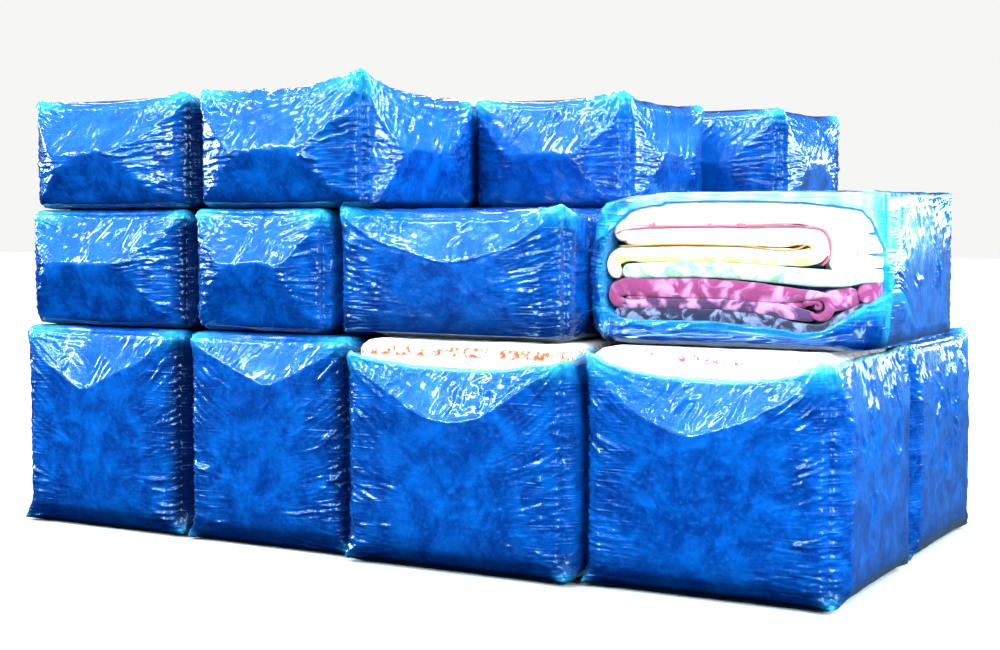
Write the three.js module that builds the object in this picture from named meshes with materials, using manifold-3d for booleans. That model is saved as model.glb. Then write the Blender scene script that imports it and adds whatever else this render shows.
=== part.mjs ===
// Block stack of blanket bales, standing on the floor without a pallet.
// Four columns run along X, three rows run back along Y, and the bales stand up to three high.
// Each bale is a block of pressed, folded blankets in a blue film bag. Two bottom bales are
// open at the top and one middle bale is open at the front, so that their blankets show.
// Millimetres, +Z up, front of the stack towards -Y, origin under the middle of the stack.
import * as THREE from 'three';
import { mergeVertices } from 'three/addons/utils/BufferGeometryUtils.js';
import Module from 'manifold-3d';

const wasm = await Module();
wasm.setup();

// Driving dimensions
const SEAT = 0.3; // clearance where one piece presses on the next
const CORNER_RADIUS = 40; // upright bale edge, seen from above
const FILM_WALL = 4; // film bag of an open bale, with its air and wrinkles
const PRESSED = 32; // how far a face swells past its edges where the next bale presses on it
const FREE = 18; // and where nothing does
const FLAT_MIDDLE = 4 / 3; // a swell is a parabola this much too tall, cut flat at its top

// Resting height and flat top of each tier
const TIERS = {
  bottom: [0, 1050],
  middle: [1050, 1660],
  top: [1660, 2240],
};

const ROW_ORDER = ['front', 'centre', 'rear'];

// Lines where the bales of one tier and row meet, from left to right, and where their front
// and back faces stand, as one figure for the row or one for each column
const ROWS = [
  // tier, row, x lines, fronts, backs
  ['bottom', 'front', [-4468, -3372, -2345, -1163, 10], [0, 0, -70, -5], 1085],
  ['bottom', 'centre', [-4425, -3335, -2290, -1125, -8], 1085, [2165, 2165, 2165, 2255]],
  ['bottom', 'rear', [-4460, -3400, -2330, -1215], 2165, 3230],
  ['middle', 'front', [-4442, -3370, -2520, -1245], [0, 0, 90], 1090],
  ['middle', 'centre', [-4405, -3350, -2340, -1262], 1090, 2150],
  ['middle', 'rear', [-4440, -3390, -2300, -1190], 2150, 3215],
  ['top', 'front', [-4416, -3338, -2292], 0, 1085],
  ['top', 'centre', [-4425, -3360, -2390, -1450], [1085, 1085, 1130], 2170],
  ['top', 'rear', [-4400, -3330, -2110, -1040], [2170, 2170, 2250], 3290],
].map(([tier, row, x, front, back]) => ({ tier, row, x, front, back }));
const OPEN_TOP = ['bottom_front_3', 'bottom_front_4'];
const IN_VIEW = /front|bottom_centre_4|top_centre_3|top_rear_3/;

// Open-top bales: rim of the bag, and underside of the blanket that shows in it
const MOUTH = { rim: 985, blanketFloor: 900 };

// Front-open bale: its box, the height of each blanket's top, the place where the white
// blanket turns down round the fold of the cream one, how far back the bag's rim stands at its
// two sides, the top of the lip that the bag keeps under its mouth, and how far a blanket's
// rounded fold stands in from the bale's side
const OPEN_FRONT = {
  x: [-1240, 112],
  y: [185, 1405],
  top: 1700,
  radius: [120, 200, 60, 60],
  seams: { grey: 1212, magenta: 1340, mint: 1412, cream: 1568 },
  wrap: -98,
  rim: { left: 250, right: 400 },
  lip: 1125,
  foldInset: 30,
};

const COLOURS = {
  film: { color: 0x1557c9, roughness: 0.22 },
  white: { color: 0xf4efe9, roughness: 0.95 },
  cream: { color: 0xf7e6b0, roughness: 0.95 },
  mint: { color: 0xbfe3cf, roughness: 0.95 },
  magenta: { color: 0xc0588f, roughness: 0.95 },
  grey: { color: 0x77738c, roughness: 0.95 },
};

// Rings of a closed bale from its flat bottom to its flat top. Each has its height (a share of
// the bale's height, millimetres above its bottom, or below its top if negative), its inset
// from the bale's sides and the share of their swell.
const LAST = Infinity;
const CLOSED = [
  { at: 0, inset: 34, swell: 0.1 },
  { at: 12, inset: 12, swell: 0.3 },
  { at: 45, inset: 0, swell: 0.6 },
  { at: 0.4, inset: 0, swell: 1 },
  { at: 0.68, inset: 0, swell: 1 },
  { at: -110, inset: 4, swell: 0.7 },
  { at: -55, inset: 20, swell: 0.45 },
  { at: -22, inset: 68, swell: 0.25 },
  { at: LAST, inset: 165, swell: 0.1 },
];
const CLOSED_PLAIN = CLOSED.filter((ring) => ring.at !== 12 && ring.at !== -110);
const OPEN_TOP_BAG = [
  { at: 0, inset: 30, swell: 0.1 },
  { at: 12, inset: 10, swell: 0.3 },
  { at: 45, inset: 0, swell: 0.6 },
  { at: 0.44, inset: 0, swell: 1 },
  { at: 0.73, inset: 0, swell: 1 },
  { at: LAST, inset: 14, swell: 0.7 },
];
const TOP_BLANKET = [
  { at: 0, inset: 24, swell: 0.7 },
  { at: 20, inset: 0, swell: 0.7 },
  { at: -75, inset: 14, swell: 0.7 },
  { at: -38, inset: 42, swell: 0.5 },
  { at: -14, inset: 100, swell: 0.3 },
  { at: LAST, inset: 200, swell: 0.1 },
];
const FRONT_BAG = [
  { at: 0, inset: 90, swell: 0.2 },
  { at: 20, inset: 36, swell: 0.4 },
  { at: 75, inset: 6, swell: 0.7 },
  { at: 0.42, inset: 0, swell: 1 },
  { at: 0.66, inset: 4, swell: 1 },
  { at: -90, inset: 20, swell: 0.7 },
  { at: -35, inset: 62, swell: 0.45 },
  { at: LAST, inset: 150, swell: 0.2 },
];
const FINE = { arc: 2, side: 3 };
const PLAIN = { arc: 2, side: 2 };
const ROUND = { arc: 4, side: 3 };
const FOLD_STEPS = 6; // flats round the fold of a blanket

const stack = new THREE.Group();

function addPiece(name, geometry, colour) {
  const material = new THREE.MeshStandardMaterial({ ...COLOURS[colour], metalness: 0 });
  const piece = new THREE.Mesh(geometry, material);
  piece.name = name;
  stack.add(piece);
}

function ringHeight({ at }, [low, high]) {
  if (at === LAST) return high;
  if (at < 0) return high + at;
  return at < 1 ? low + at * (high - low) : low + at;
}

// Rounded rectangle whose sides swell between its corners, flat where they are pressed.
// x and y are the reach of the swollen sides; swell lists left, right, front and back, and
// radius the corners front left, front right, back right and back left.
function ringOutline({ x, y, swell, radius, arc, side }, inset, share) {
  const [left, right, front, back] = swell;
  const low = [x[0] + left + inset, y[0] + front + inset];
  const high = [x[1] - right - inset, y[1] - back - inset];
  const corners = [
    { at: [low[0], low[1]], inward: [1, 1], from: Math.PI, out: [0, -front] },
    { at: [high[0], low[1]], inward: [-1, 1], from: 1.5 * Math.PI, out: [right, 0] },
    { at: [high[0], high[1]], inward: [-1, -1], from: 0, out: [0, back] },
    { at: [low[0], high[1]], inward: [1, -1], from: 0.5 * Math.PI, out: [-left, 0] },
  ].map((corner, i) => ({ ...corner, radius: radius[i] }));
  const onArc = ({ at, inward, from, radius: r }, turn) => [
    at[0] + r * (inward[0] + Math.cos(from + turn)),
    at[1] + r * (inward[1] + Math.sin(from + turn)),
  ];
  const points = [];
  corners.forEach((corner, i) => {
    for (let k = 0; k <= arc; k++) points.push(onArc(corner, (k / arc) * (Math.PI / 2)));
    const start = points.at(-1);
    const end = onArc(corners[(i + 1) % 4], 0);
    for (let k = 1; k <= side; k++) {
      const s = k / (side + 1);
      const bow = share * Math.min(1, FLAT_MIDDLE * 4 * s * (1 - s));
      points.push([0, 1].map((d) => start[d] + s * (end[d] - start[d]) + bow * corner.out[d]));
    }
  });
  return points;
}

// Closed body through rings with equal counts of points, capped by a fan at each end
function loft(rings) {
  const count = rings[0].points.length;
  const position = rings.flatMap(({ z, points }) => points.flatMap(([px, py]) => [px, py, z]));
  const index = [];
  for (let r = 0; r < rings.length - 1; r++) {
    for (let k = 0; k < count; k++) {
      const a = r * count + k;
      const b = r * count + ((k + 1) % count);
      index.push(a, b, b + count, a, b + count, a + count);
    }
  }
  for (const r of [0, rings.length - 1]) {
    const centre = position.length / 3;
    const mean = [0, 1].map((d) => rings[r].points.reduce((sum, p) => sum + p[d], 0) / count);
    position.push(...mean, rings[r].z);
    for (let k = 0; k < count; k++) {
      const a = r * count + k;
      const b = r * count + ((k + 1) % count);
      index.push(...(r ? [a, b, centre] : [b, a, centre]));
    }
  }
  const geometry = new THREE.BufferGeometry();
  geometry.setAttribute('position', new THREE.Float32BufferAttribute(position, 3));
  geometry.setIndex(index);
  return geometry;
}

// Soft block in the box x, y, z, drawn in by offset on every side. reach carries its last
// ring straight up, for a block that is cut open or filled past its top.
function block(shape, ringList, { offset = 0, reach = 0 } = {}) {
  const z = [shape.z[0] + offset, shape.z[1] - (reach ? 0 : offset)];
  const rings = ringList.map((ring) => ({
    z: THREE.MathUtils.clamp(ringHeight(ring, shape.z), z[0], z[1]),
    points: ringOutline(shape, ring.inset + offset, ring.swell),
  }));
  if (reach) rings.push({ z: z[1] + reach, points: rings.at(-1).points });
  return loft(rings);
}

function toSolid(geometry) {
  const bare = new THREE.BufferGeometry();
  bare.setAttribute('position', geometry.getAttribute('position'));
  bare.setIndex(geometry.getIndex());
  const merged = mergeVertices(bare);
  return new wasm.Manifold(
    new wasm.Mesh({
      numProp: 3,
      vertProperties: Float32Array.from(merged.getAttribute('position').array),
      triVerts: Uint32Array.from(merged.getIndex().array),
    }),
  );
}

function toGeometry(solid) {
  const { vertProperties, triVerts } = solid.getMesh();
  const geometry = new THREE.BufferGeometry();
  geometry.setAttribute('position', new THREE.Float32BufferAttribute(vertProperties, 3));
  geometry.setIndex(Array.from(triVerts));
  return geometry;
}

// Plate of the given outline in the XZ plane, carried along Y from y[0] to y[1]
function acrossDepth(points, y) {
  const shape = new THREE.Shape(points.map(([px, pz]) => new THREE.Vector2(px, pz)));
  const geometry = new THREE.ExtrudeGeometry(shape, { depth: y[1] - y[0], bevelEnabled: false });
  return toSolid(geometry.rotateX(Math.PI / 2).translate(0, y[1], 0));
}

// Plate of the given outline in the XY plane, carried up from z[0] to z[1]
function acrossHeight(points, z) {
  const shape = new THREE.Shape(points.map(([px, py]) => new THREE.Vector2(px, py)));
  const geometry = new THREE.ExtrudeGeometry(shape, { depth: z[1] - z[0], bevelEnabled: false });
  return toSolid(geometry.translate(0, 0, z[0]));
}

function slab([x0, x1], [z0, z1]) {
  return [[x0, z0], [x1, z0], [x1, z1], [x0, z1]];
}

function closedBale(name, shape) {
  addPiece(name, block(shape, IN_VIEW.test(name) ? CLOSED : CLOSED_PLAIN), 'film');
}

// Bag with its mouth up, a core of blankets and the blanket that crowns through the mouth
function openTopBale(name, shape) {
  const bag = { ...shape, z: [shape.z[0], MOUTH.rim] };
  const room = shape.z[1] - MOUTH.rim;
  const hollow = toSolid(block(bag, OPEN_TOP_BAG, { offset: FILM_WALL, reach: room }));
  addPiece(`${name}_bag`, toGeometry(toSolid(block(bag, OPEN_TOP_BAG)).subtract(hollow)), 'film');

  const filling = toSolid(block(bag, OPEN_TOP_BAG, { offset: FILM_WALL + SEAT, reach: room }));
  const { x, y } = shape;
  const core = acrossDepth(slab(x, [shape.z[0], MOUTH.blanketFloor]), y);
  addPiece(`${name}_core`, toGeometry(filling.intersect(core)), 'white');

  const drawnIn = FILM_WALL + SEAT + OPEN_TOP_BAG.at(-1).inset;
  const crown = { ...shape, z: [MOUTH.blanketFloor + SEAT, shape.z[1]] };
  const rings = TOP_BLANKET.map((ring) => ({ ...ring, inset: ring.inset + drawnIn }));
  addPiece(`${name}_blanket`, toGeometry(filling.intersect(toSolid(block(crown, rings)))), 'white');
}

// Half circle in the XZ plane that bulges to the right, from low to high, or to the left, from
// high to low. edge is the place that it bulges to.
function bend(edge, [low, high], way) {
  const radius = (high - low) / 2;
  return Array.from({ length: FOLD_STEPS + 1 }, (_, k) => {
    const turn = (k / FOLD_STEPS - 0.5) * Math.PI;
    return [
      edge + way * radius * (Math.cos(turn) - 1),
      (low + high) / 2 + way * radius * Math.sin(turn),
    ];
  });
}

// Outline, in the XZ plane, of a folded blanket with its rounded fold at the named side
function folded([x0, x1], [z0, z1], side) {
  return side === 'left'
    ? [[x1, z0], [x1, z1], ...bend(x0, [z0, z1], -1)]
    : [[x0, z1], [x0, z0], ...bend(x1, [z0, z1], 1)];
}

// Bag whose front is drawn back to a slanting rim, with five folded blankets in it
function openFrontBale(name) {
  const { x, y, top, radius, seams, wrap, rim, lip, foldInset } = OPEN_FRONT;
  const z = [TIERS.middle[0] + SEAT, top];
  const shape = { x, y, z, radius, swell: [FREE, FREE, FREE, FREE], ...ROUND };
  const front = y[0] - FREE;
  const opened = acrossHeight(
    [[x[0], front], [x[1], front], [x[1], rim.right], [x[0], rim.left]],
    [lip, top],
  );
  const shell = toSolid(block(shape, FRONT_BAG));
  const hollow = toSolid(block(shape, FRONT_BAG, { offset: FILM_WALL }));
  addPiece(`${name}_bag`, toGeometry(shell.subtract(hollow).subtract(opened)), 'film');

  const filling = toSolid(block(shape, FRONT_BAG, { offset: FILM_WALL + SEAT }));
  const foldedAt = [x[0] + foldInset, x[1] - foldInset];
  const blankets = {
    white: [
      [x[1], seams.mint], [x[1], top], [x[0], top], [x[0], seams.cream],
      ...bend(wrap, [seams.mint, seams.cream], 1).reverse(),
    ],
    cream: folded([x[0], wrap - SEAT], [seams.mint + SEAT, seams.cream - SEAT], 'right'),
    mint: slab(x, [seams.magenta, seams.mint - SEAT]),
    magenta: folded(foldedAt, [seams.grey, seams.magenta - SEAT], 'left'),
    grey: slab(x, [z[0], seams.grey - SEAT]),
  };
  for (const [colour, profile] of Object.entries(blankets)) {
    addPiece(`${colour}_blanket`, toGeometry(filling.intersect(acrossDepth(profile, y))), colour);
  }
}

const ofColumn = (figure, column) => (Array.isArray(figure) ? figure[column] : figure);

// Whether the tier has a bale in that row, counted from the front, and that column
function hasBale(tier, depth, column) {
  const found = ROWS.find((other) => other.tier === tier && other.row === ROW_ORDER[depth]);
  return Boolean(found) && column >= 0 && column < found.x.length - 1;
}

for (const { tier, row, x, front, back } of ROWS) {
  const depth = ROW_ORDER.indexOf(row);
  for (let column = 0; column < x.length - 1; column++) {
    const name = `${tier}_${row}_${column + 1}`;
    const beside = [[depth, column - 1], [depth, column + 1], [depth - 1, column], [depth + 1, column]];
    const shape = {
      x: [x[column] + SEAT / 2, x[column + 1] - SEAT / 2],
      y: [ofColumn(front, column) + SEAT / 2, ofColumn(back, column) - SEAT / 2],
      z: [TIERS[tier][0] + (tier === 'bottom' ? 0 : SEAT), TIERS[tier][1]],
      radius: Array(4).fill(CORNER_RADIUS),
      swell: beside.map(([d, c]) => (hasBale(tier, d, c) ? PRESSED : FREE)),
      ...(IN_VIEW.test(name) ? FINE : PLAIN),
    };
    if (OPEN_TOP.includes(name)) openTopBale(name, shape);
    else closedBale(name, shape);
  }
}
openFrontBale('middle_front_4');

const box = new THREE.Box3().setFromObject(stack);
stack.position.set(-(box.min.x + box.max.x) / 2, -(box.min.y + box.max.y) / 2, -box.min.z);

export default stack;
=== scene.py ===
"""Looks of a block stack of blanket bales in blue film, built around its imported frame.

Metres, +Z up, front of the stack towards -Y. Every bag is a soft box: lattice points on a box
are rounded, drawn in, creased and pulled by whole-array formulas. The folded blankets of the
front-open bale are thick sheets carried along their fold lines.
"""

import logging
import math
from abc import ABC, abstractmethod
from dataclasses import dataclass, field, replace
from enum import Enum

import bpy
import numpy as np
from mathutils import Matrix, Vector


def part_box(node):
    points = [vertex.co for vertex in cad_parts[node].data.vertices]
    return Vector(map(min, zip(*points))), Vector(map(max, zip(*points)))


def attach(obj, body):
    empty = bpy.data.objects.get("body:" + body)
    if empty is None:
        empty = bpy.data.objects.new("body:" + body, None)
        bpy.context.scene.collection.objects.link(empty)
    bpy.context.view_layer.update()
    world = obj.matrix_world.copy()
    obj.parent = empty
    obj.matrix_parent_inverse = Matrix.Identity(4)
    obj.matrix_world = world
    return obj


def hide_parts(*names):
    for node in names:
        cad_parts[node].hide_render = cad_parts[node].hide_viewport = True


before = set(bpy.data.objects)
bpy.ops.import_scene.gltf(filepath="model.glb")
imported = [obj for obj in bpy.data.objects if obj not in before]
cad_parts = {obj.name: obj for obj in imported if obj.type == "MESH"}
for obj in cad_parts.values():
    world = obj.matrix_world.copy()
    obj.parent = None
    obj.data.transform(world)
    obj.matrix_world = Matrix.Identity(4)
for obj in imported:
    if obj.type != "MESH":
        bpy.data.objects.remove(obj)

Array = np.ndarray
log = logging.getLogger("bales")

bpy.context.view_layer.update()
TIERS = ("bottom", "middle", "top")
ROWS = ("front", "centre", "rear")
COLUMNS = (1, 2, 3, 4)
BLANKETS = ("white", "cream", "mint", "magenta", "grey")  # in the front-open bale, top first
TOUCHING = 0.02  # bales nearer than this press on each other
COVERED = 0.97  # share of a face that neighbours cover when it is hidden
FINE = (0.0098, 0.0098, 0.0071)  # lattice spacing of a bale that the main view shows, metres
COARSE = 0.03  # and of any other, away from its edges
COARSE_EDGE = 0.015
COARSE_BAND = (0.03, 0.16)  # distances from an edge between which the spacing widens
LINE_GAP = 0.003  # a line gives way to one that has to be there and is nearer than this
BLOCK = 3  # lattice cells along the side of one polygon, on a face that isn't fine
HIDDEN_BORDER = 0.13  # strip of a hidden face that is still worked out, metres
FLOOR_GAP = 0.0005  # height of the lowest film over the floor

# What a film's finish is told at each point: how slack and doubled the film is, how much a clear
# layer on white blankets shows, how much painted shade darkens the joints and the foot, how
# strongly fans and pleats run, and whether the lattice is too coarse to show folds of its own.
MARKS = ("loose", "clear", "shade", "fan", "pleat", "coarse")


class Side(Enum):
    """A face of a box: the axis that it looks along, and which way."""

    LEFT = (0, -1)
    RIGHT = (0, 1)
    FRONT = (1, -1)
    BACK = (1, 1)
    UNDER = (2, -1)
    TOP = (2, 1)

    @property
    def axis(self) -> int:
        """Axis of the outward normal."""
        return self.value[0]

    @property
    def sign(self) -> int:
        """Direction of the outward normal along its axis."""
        return self.value[1]

    @property
    def plane(self) -> tuple[int, int]:
        """The two axes that lie in the face, level one first."""
        return {0: (1, 2), 1: (0, 2), 2: (0, 1)}[self.axis]


def linear(hex_colour: str) -> tuple[float, float, float, float]:
    """Turns an sRGB colour to the linear values that Blender's sockets hold.

    Args:
        hex_colour: six hex digits, with or without a leading #.

    Returns:
        Linear red, green, blue and an alpha of 1.
    """
    digits = hex_colour.lstrip("#")
    shares = np.array([int(digits[i : i + 2], 16) for i in (0, 2, 4)]) / 255
    low, high = shares / 12.92, ((shares + 0.055) / 1.055) ** 2.4
    return (*np.where(shares <= 0.04045, low, high).tolist(), 1.0)


def add_node(
    tree: bpy.types.NodeTree, kind: str, settings: dict[str, object], inputs: dict[object, object]
) -> bpy.types.Node:
    """Adds one shader node.

    Args:
        tree: node tree that gets the node.
        kind: Blender's name for the node's type.
        settings: attributes to set on the node.
        inputs: value or linked output socket for each input, by name or number.

    Returns:
        The new node.
    """
    node = tree.nodes.new(kind)
    for name, value in settings.items():
        setattr(node, name, value)
    for name, value in inputs.items():
        if isinstance(value, bpy.types.NodeSocket):
            tree.links.new(value, node.inputs[name])
        else:
            node.inputs[name].default_value = value
    return node


def smooth(x: Array, start: float, end: float) -> Array:
    """Eased step: 0 up to start, 1 from end on, and 3x^2 - 2x^3 of the share between."""
    share = np.clip((x - start) / (end - start), 0, 1)
    return share * share * (3 - 2 * share)


def soft_min(values: list[Array], sharpness: float) -> Array:
    """Least of several arrays with rounded joins: minus the log of the sum of exp(-k x), over k.

    Args:
        values: arrays of one shape, or numbers.
        sharpness: k, high for a sharp join.

    Returns:
        The softened minimum.
    """
    least = np.minimum.reduce(np.broadcast_arrays(*values))
    total = sum(np.exp(-sharpness * (value - least)) for value in values)
    return least - np.log(total) / sharpness


class Noise:
    """Smooth random field over space, the same for the same seed."""

    PERIOD = 256
    GAIN = 1.5  # brings the blended values to about -1 to 1
    THINNESS = 2.6  # the higher, the thinner a crest
    SHARPNESS = 1.6  # the higher, the more pointed it is
    CREST_MEAN = 0.27

    def __init__(self, seed: int) -> None:
        """Draws a shuffled table and unit gradients from the seed.

        Args:
            seed: picks the field.
        """
        random = np.random.default_rng(seed)
        self.order = random.permutation(self.PERIOD).astype(np.int32)
        arrows = random.normal(size=(self.PERIOD, 3))
        arrows /= np.linalg.norm(arrows, axis=1, keepdims=True)
        self.arrows = arrows.astype(np.float32)

    def at(self, *coordinates: Array) -> Array:
        """Gradient noise: at each of the 8 cell corners a random arrow is dotted with the way to
        the point, and the 8 results are blended by 6t^5 - 15t^4 + 10t^3.

        Args:
            coordinates: one to three arrays or numbers, in units of a cell.

        Returns:
            Values of about -1 to 1.
        """
        given = np.broadcast_arrays(*coordinates)
        points = np.zeros((*given[0].shape, 3), np.float32)
        for axis, values in enumerate(given):
            points[..., axis] = values
        cell = np.floor(points).astype(np.int32)
        part = points - cell
        ease = part**3 * (part * (part * 6 - 15) + 10)
        total = np.zeros(given[0].shape, np.float32)
        for corner in np.ndindex(2, 2, 2):
            x, y, z = np.moveaxis(cell + np.array(corner, np.int32), -1, 0) % self.PERIOD
            pick = self.order[(self.order[(self.order[x] + y) % self.PERIOD] + z) % self.PERIOD]
            reach = np.einsum("...k,...k->...", self.arrows[pick], part - np.float32(corner))
            weight = np.prod(np.where(corner, ease, 1 - ease), axis=-1)
            total += weight * reach
        return total.astype(float) * self.GAIN

    def creases(self, *coordinates: Array) -> Array:
        """Thin crests where the noise crosses zero: 1 less the thinness times |noise|, to the
        power of the sharpness, less its mean."""
        crest = np.clip(1 - self.THINNESS * np.abs(self.at(*coordinates)), 0, 1)
        return crest**self.SHARPNESS - self.CREST_MEAN


@dataclass(frozen=True)
class Facets:
    """Slopes of film that fall from the taut middle of a face to its four edges.

    left, right, low and high are the slopes' widths as shares of the face. A sag makes the upper
    slope a smile: as wide as sag in the middle, and nothing at the corners. A bulge below 1 rounds
    the side slopes, and an arch narrows the lower slope towards its ends.
    """

    left: float = 0.15
    right: float = 0.15
    low: float = 0.15
    high: float = 0.15
    sag: float = 0.0
    fall: float = 0.04
    upper_fall: float = 0.0
    sharpness: float = 14.0
    sag_at: float = 0.5
    bow: float = 1.7  # 1 for a V, more for a rounder smile
    bulge: float = 1.0
    arch: float = 0.0

    NARROW = 0.012  # width of the sagging slope at its ends, as a share of the face
    SAG_RIDGE = 0.014  # half width of the ridge along a sag, as a share of the face
    RIDGE = 0.07  # and of any other ridge, as a share of the way over the slopes

    @property
    def winged(self) -> bool:
        """Whether the lower and upper slopes nearly meet, so that the side slopes are wings."""
        return not self.sag and self.low + self.high > 0.8

    def ways(self, s: Array, t: Array) -> list[Array]:
        """Shares of the way over the left, the right and the lower slope: the distance from the
        edge over the slope's width, to the power bulge at the sides. The lower slope's width
        shrinks by the arch times (2s' - 1)^2, with s' measured between the side slopes' middles.

        Args:
            s: place across the face, 0 to 1.
            t: place up the face, 0 to 1.

        Returns:
            The three shares, left, right and lower.
        """
        left, right = self.left / 2, 1 - self.right / 2
        off = np.clip(2 * (s - left) / (right - left) - 1, -1, 1)
        low = self.low * (1 - self.arch * off**2)
        return [(s / self.left) ** self.bulge, ((1 - s) / self.right) ** self.bulge, t / low]

    def smile(self, s: Array) -> Array:
        """Width of the sagging slope: sag times 1 - r^bow, with s' = s bent so that its middle
        lies at sag_at, and r the root of (2s' - 1)^2 + 0.01."""
        bent = s ** (math.log(0.5) / math.log(self.sag_at))
        return self.sag * np.clip(1 - np.sqrt((2 * bent - 1) ** 2 + 0.01) ** self.bow, 0, 1)

    def depth(self, s: Array, t: Array) -> Array:
        """How far the face is drawn in: fall times 1 less the soft minimum of the shares of the
        way over each slope, plus the sagging slope's own fall.

        Args:
            s: place across the face, 0 to 1.
            t: place up the face, 0 to 1.

        Returns:
            Metres inward.
        """
        ways = [*self.ways(s, t), np.ones_like(s)]
        if not self.sag:
            level = soft_min([*ways, (1 - t) / self.high], self.sharpness)
            return self.fall * (1 - level)
        width = self.smile(s) + self.NARROW
        over = soft_min([(1 - t) / width, np.ones_like(s)], self.sharpness)
        share = np.clip(1 - over, 0, None) * width / self.sag
        return self.fall * (1 - soft_min(ways, self.sharpness)) + self.upper_fall * share

    def ridge(self, s: Array, t: Array) -> Array:
        """Strength of the taut line where two slopes meet: 1 on the line, and exp of minus the
        squared distance beside it, counted in shares of the slopes' widths.

        Args:
            s: place across the face, 0 to 1.
            t: place up the face, 0 to 1.

        Returns:
            Values of 0 to 1.
        """
        if self.sag:
            width = self.smile(s)
            apart = (1 - t - width) / self.SAG_RIDGE
            return np.exp(-(apart**2)) * smooth(width, 0.02, 0.1)
        ways = np.sort([*self.ways(s, t)[:2], (1 - t) / self.high], axis=0)
        apart = np.minimum(ways[1], 1) - ways[0]
        return np.exp(-((apart / self.RIDGE) ** 2)) * smooth(t - 1 + self.high, -0.05, 0.05)

    def wing(self, s: Array, t: Array, from_left: bool) -> Array:
        """How much a point lies on a side slope of a face without a sag: the eased step of the
        lesser of the lower and the upper way less its own, times 0.55 plus 0.75 of its own way,
        so that it is more towards the slope's inner end.

        Args:
            s: place across the face, 0 to 1.
            t: place up the face, 0 to 1.
            from_left: whether it is the left slope.

        Returns:
            Values of 0 to about 1.3.
        """
        left, right, low = self.ways(s, t)
        way = left if from_left else right
        level = np.minimum(low, (1 - t) / self.high)
        return smooth(np.minimum(level, 1.1) - way, -0.12, 0.1) * (0.55 + 0.75 * way)

    def flap(self, s: Array, t: Array) -> Array:
        """How much a point lies on the upper slope: the eased step of the least of the other
        ways less its own, and of the smile's width less the distance from the upper edge where
        there is a sag.

        Args:
            s: place across the face, 0 to 1.
            t: place up the face, 0 to 1.

        Returns:
            Values of 0 to 1.
        """
        if self.sag:
            return smooth(t - 1 + self.smile(s), -0.015, 0.03)
        others = np.minimum.reduce(self.ways(s, t))
        return smooth(others - (1 - t) / self.high, -0.05, 0.12) * smooth(t - 0.3, 0, 0.1)


PRESSED_FACE = Facets(left=0.13, right=0.13, low=0.1, high=0.1, fall=0.03, sharpness=7)
PRESSED_TOP = Facets(left=0.07, right=0.07, low=0.07, high=0.07, fall=0.016, sharpness=6)
CROWN = Facets(left=0.2, right=0.2, low=0.2, high=0.2, fall=0.035, sharpness=5)


@dataclass(frozen=True)
class FaceForm:
    """Shape of one face of a bale: its slopes, how proud its middle stands and its wrinkles.

    fans, pleats and ridge are the heights of the creases in metres. The creases of a fan run in
    from an upright edge towards the height focus, a share of the face, and the ridge follows the
    lines where slopes meet.
    """

    facets: Facets = PRESSED_FACE
    proud: float = 0.0
    fans: float = 0.0
    pleats: float = 0.0
    ridge: float = 0.0
    lean: float = 0.5  # how far a pleat runs across for each metre that it runs down
    gathers: float = 1.0  # strength of the finest gathers between the pleats
    reach: float = 0.26  # width of a fan, metres
    focus: float = 0.45
    hidden: bool = False  # whether a neighbour or the floor covers it


@dataclass(frozen=True)
class Ear:
    """Loose film that is pulled out at a corner: how far, and how wide along each axis."""

    corner: tuple[int, int, int]
    pull: tuple[float, float, float]
    width: tuple[float, float, float]
    loose: float = 1.0  # how far the film is slack and doubled there


@dataclass(frozen=True)
class Rounding:
    """Radii of a soft box: its upright edges seen from above, and its upper and lower edges."""

    front_left: float = 0.04
    front_right: float = 0.04
    back_right: float = 0.04
    back_left: float = 0.04
    upper: float = 0.045
    lower: float = 0.03

    def apply(self, box: Array, low: Array, high: Array) -> tuple[Array, Array]:
        """Rounds the box twice by the map of a square onto a circle, which scales a vector by
        its longer side over its length: first the outline seen from above, then the upper and
        the lower edge, in the plane of the outline's normal and Z.

        Args:
            box: points on the skin of the box.
            low: lowest corner.
            high: highest corner.

        Returns:
            The rounded points and their outward unit normals.
        """
        middle = (low + high) / 2
        right, back = box[:, 0] > middle[0], box[:, 1] > middle[1]
        radius = np.select(
            [~right & ~back, right & ~back, right & back],
            [self.front_left, self.front_right, self.back_right],
            self.back_left,
        )[:, None]
        flat = box[:, :2]
        inner = np.clip(flat, low[:2] + radius, high[:2] - radius)
        rest = flat - inner
        length = np.linalg.norm(rest, axis=1, keepdims=True)
        reach = np.abs(rest).max(axis=1, keepdims=True)
        out = rest / np.maximum(length, 1e-9)
        to_edge = np.concatenate([flat - low[:2], high[:2] - flat], axis=1).min(axis=1)
        inset = np.where(length[:, 0] > 0, (radius - reach)[:, 0], to_edge)
        flat = inner + out * reach
        normal = np.concatenate([out, np.zeros((len(box), 1))], axis=1)
        height = box[:, 2].copy()
        for edge, face, way in ((self.upper, high[2], 1), (self.lower, low[2], -1)):
            across = np.clip(edge - inset, 0, None)
            along = np.clip(edge - np.abs(face - box[:, 2]), 0, None)
            near = along > 0
            scale = np.maximum(across, along) / np.maximum(np.hypot(across, along), 1e-9)
            flat = np.where(near[:, None], flat - out * (across * (1 - scale))[:, None], flat)
            height = np.where(near, face - way * (edge - along * scale), height)
            turned = np.concatenate(
                [out * (across * scale)[:, None], (way * along * scale)[:, None]], axis=1
            )
            turned /= np.maximum(np.linalg.norm(turned, axis=1, keepdims=True), 1e-9)
            normal = np.where(near[:, None], turned, normal)
        return np.concatenate([flat, height[:, None]], axis=1), normal


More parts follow.
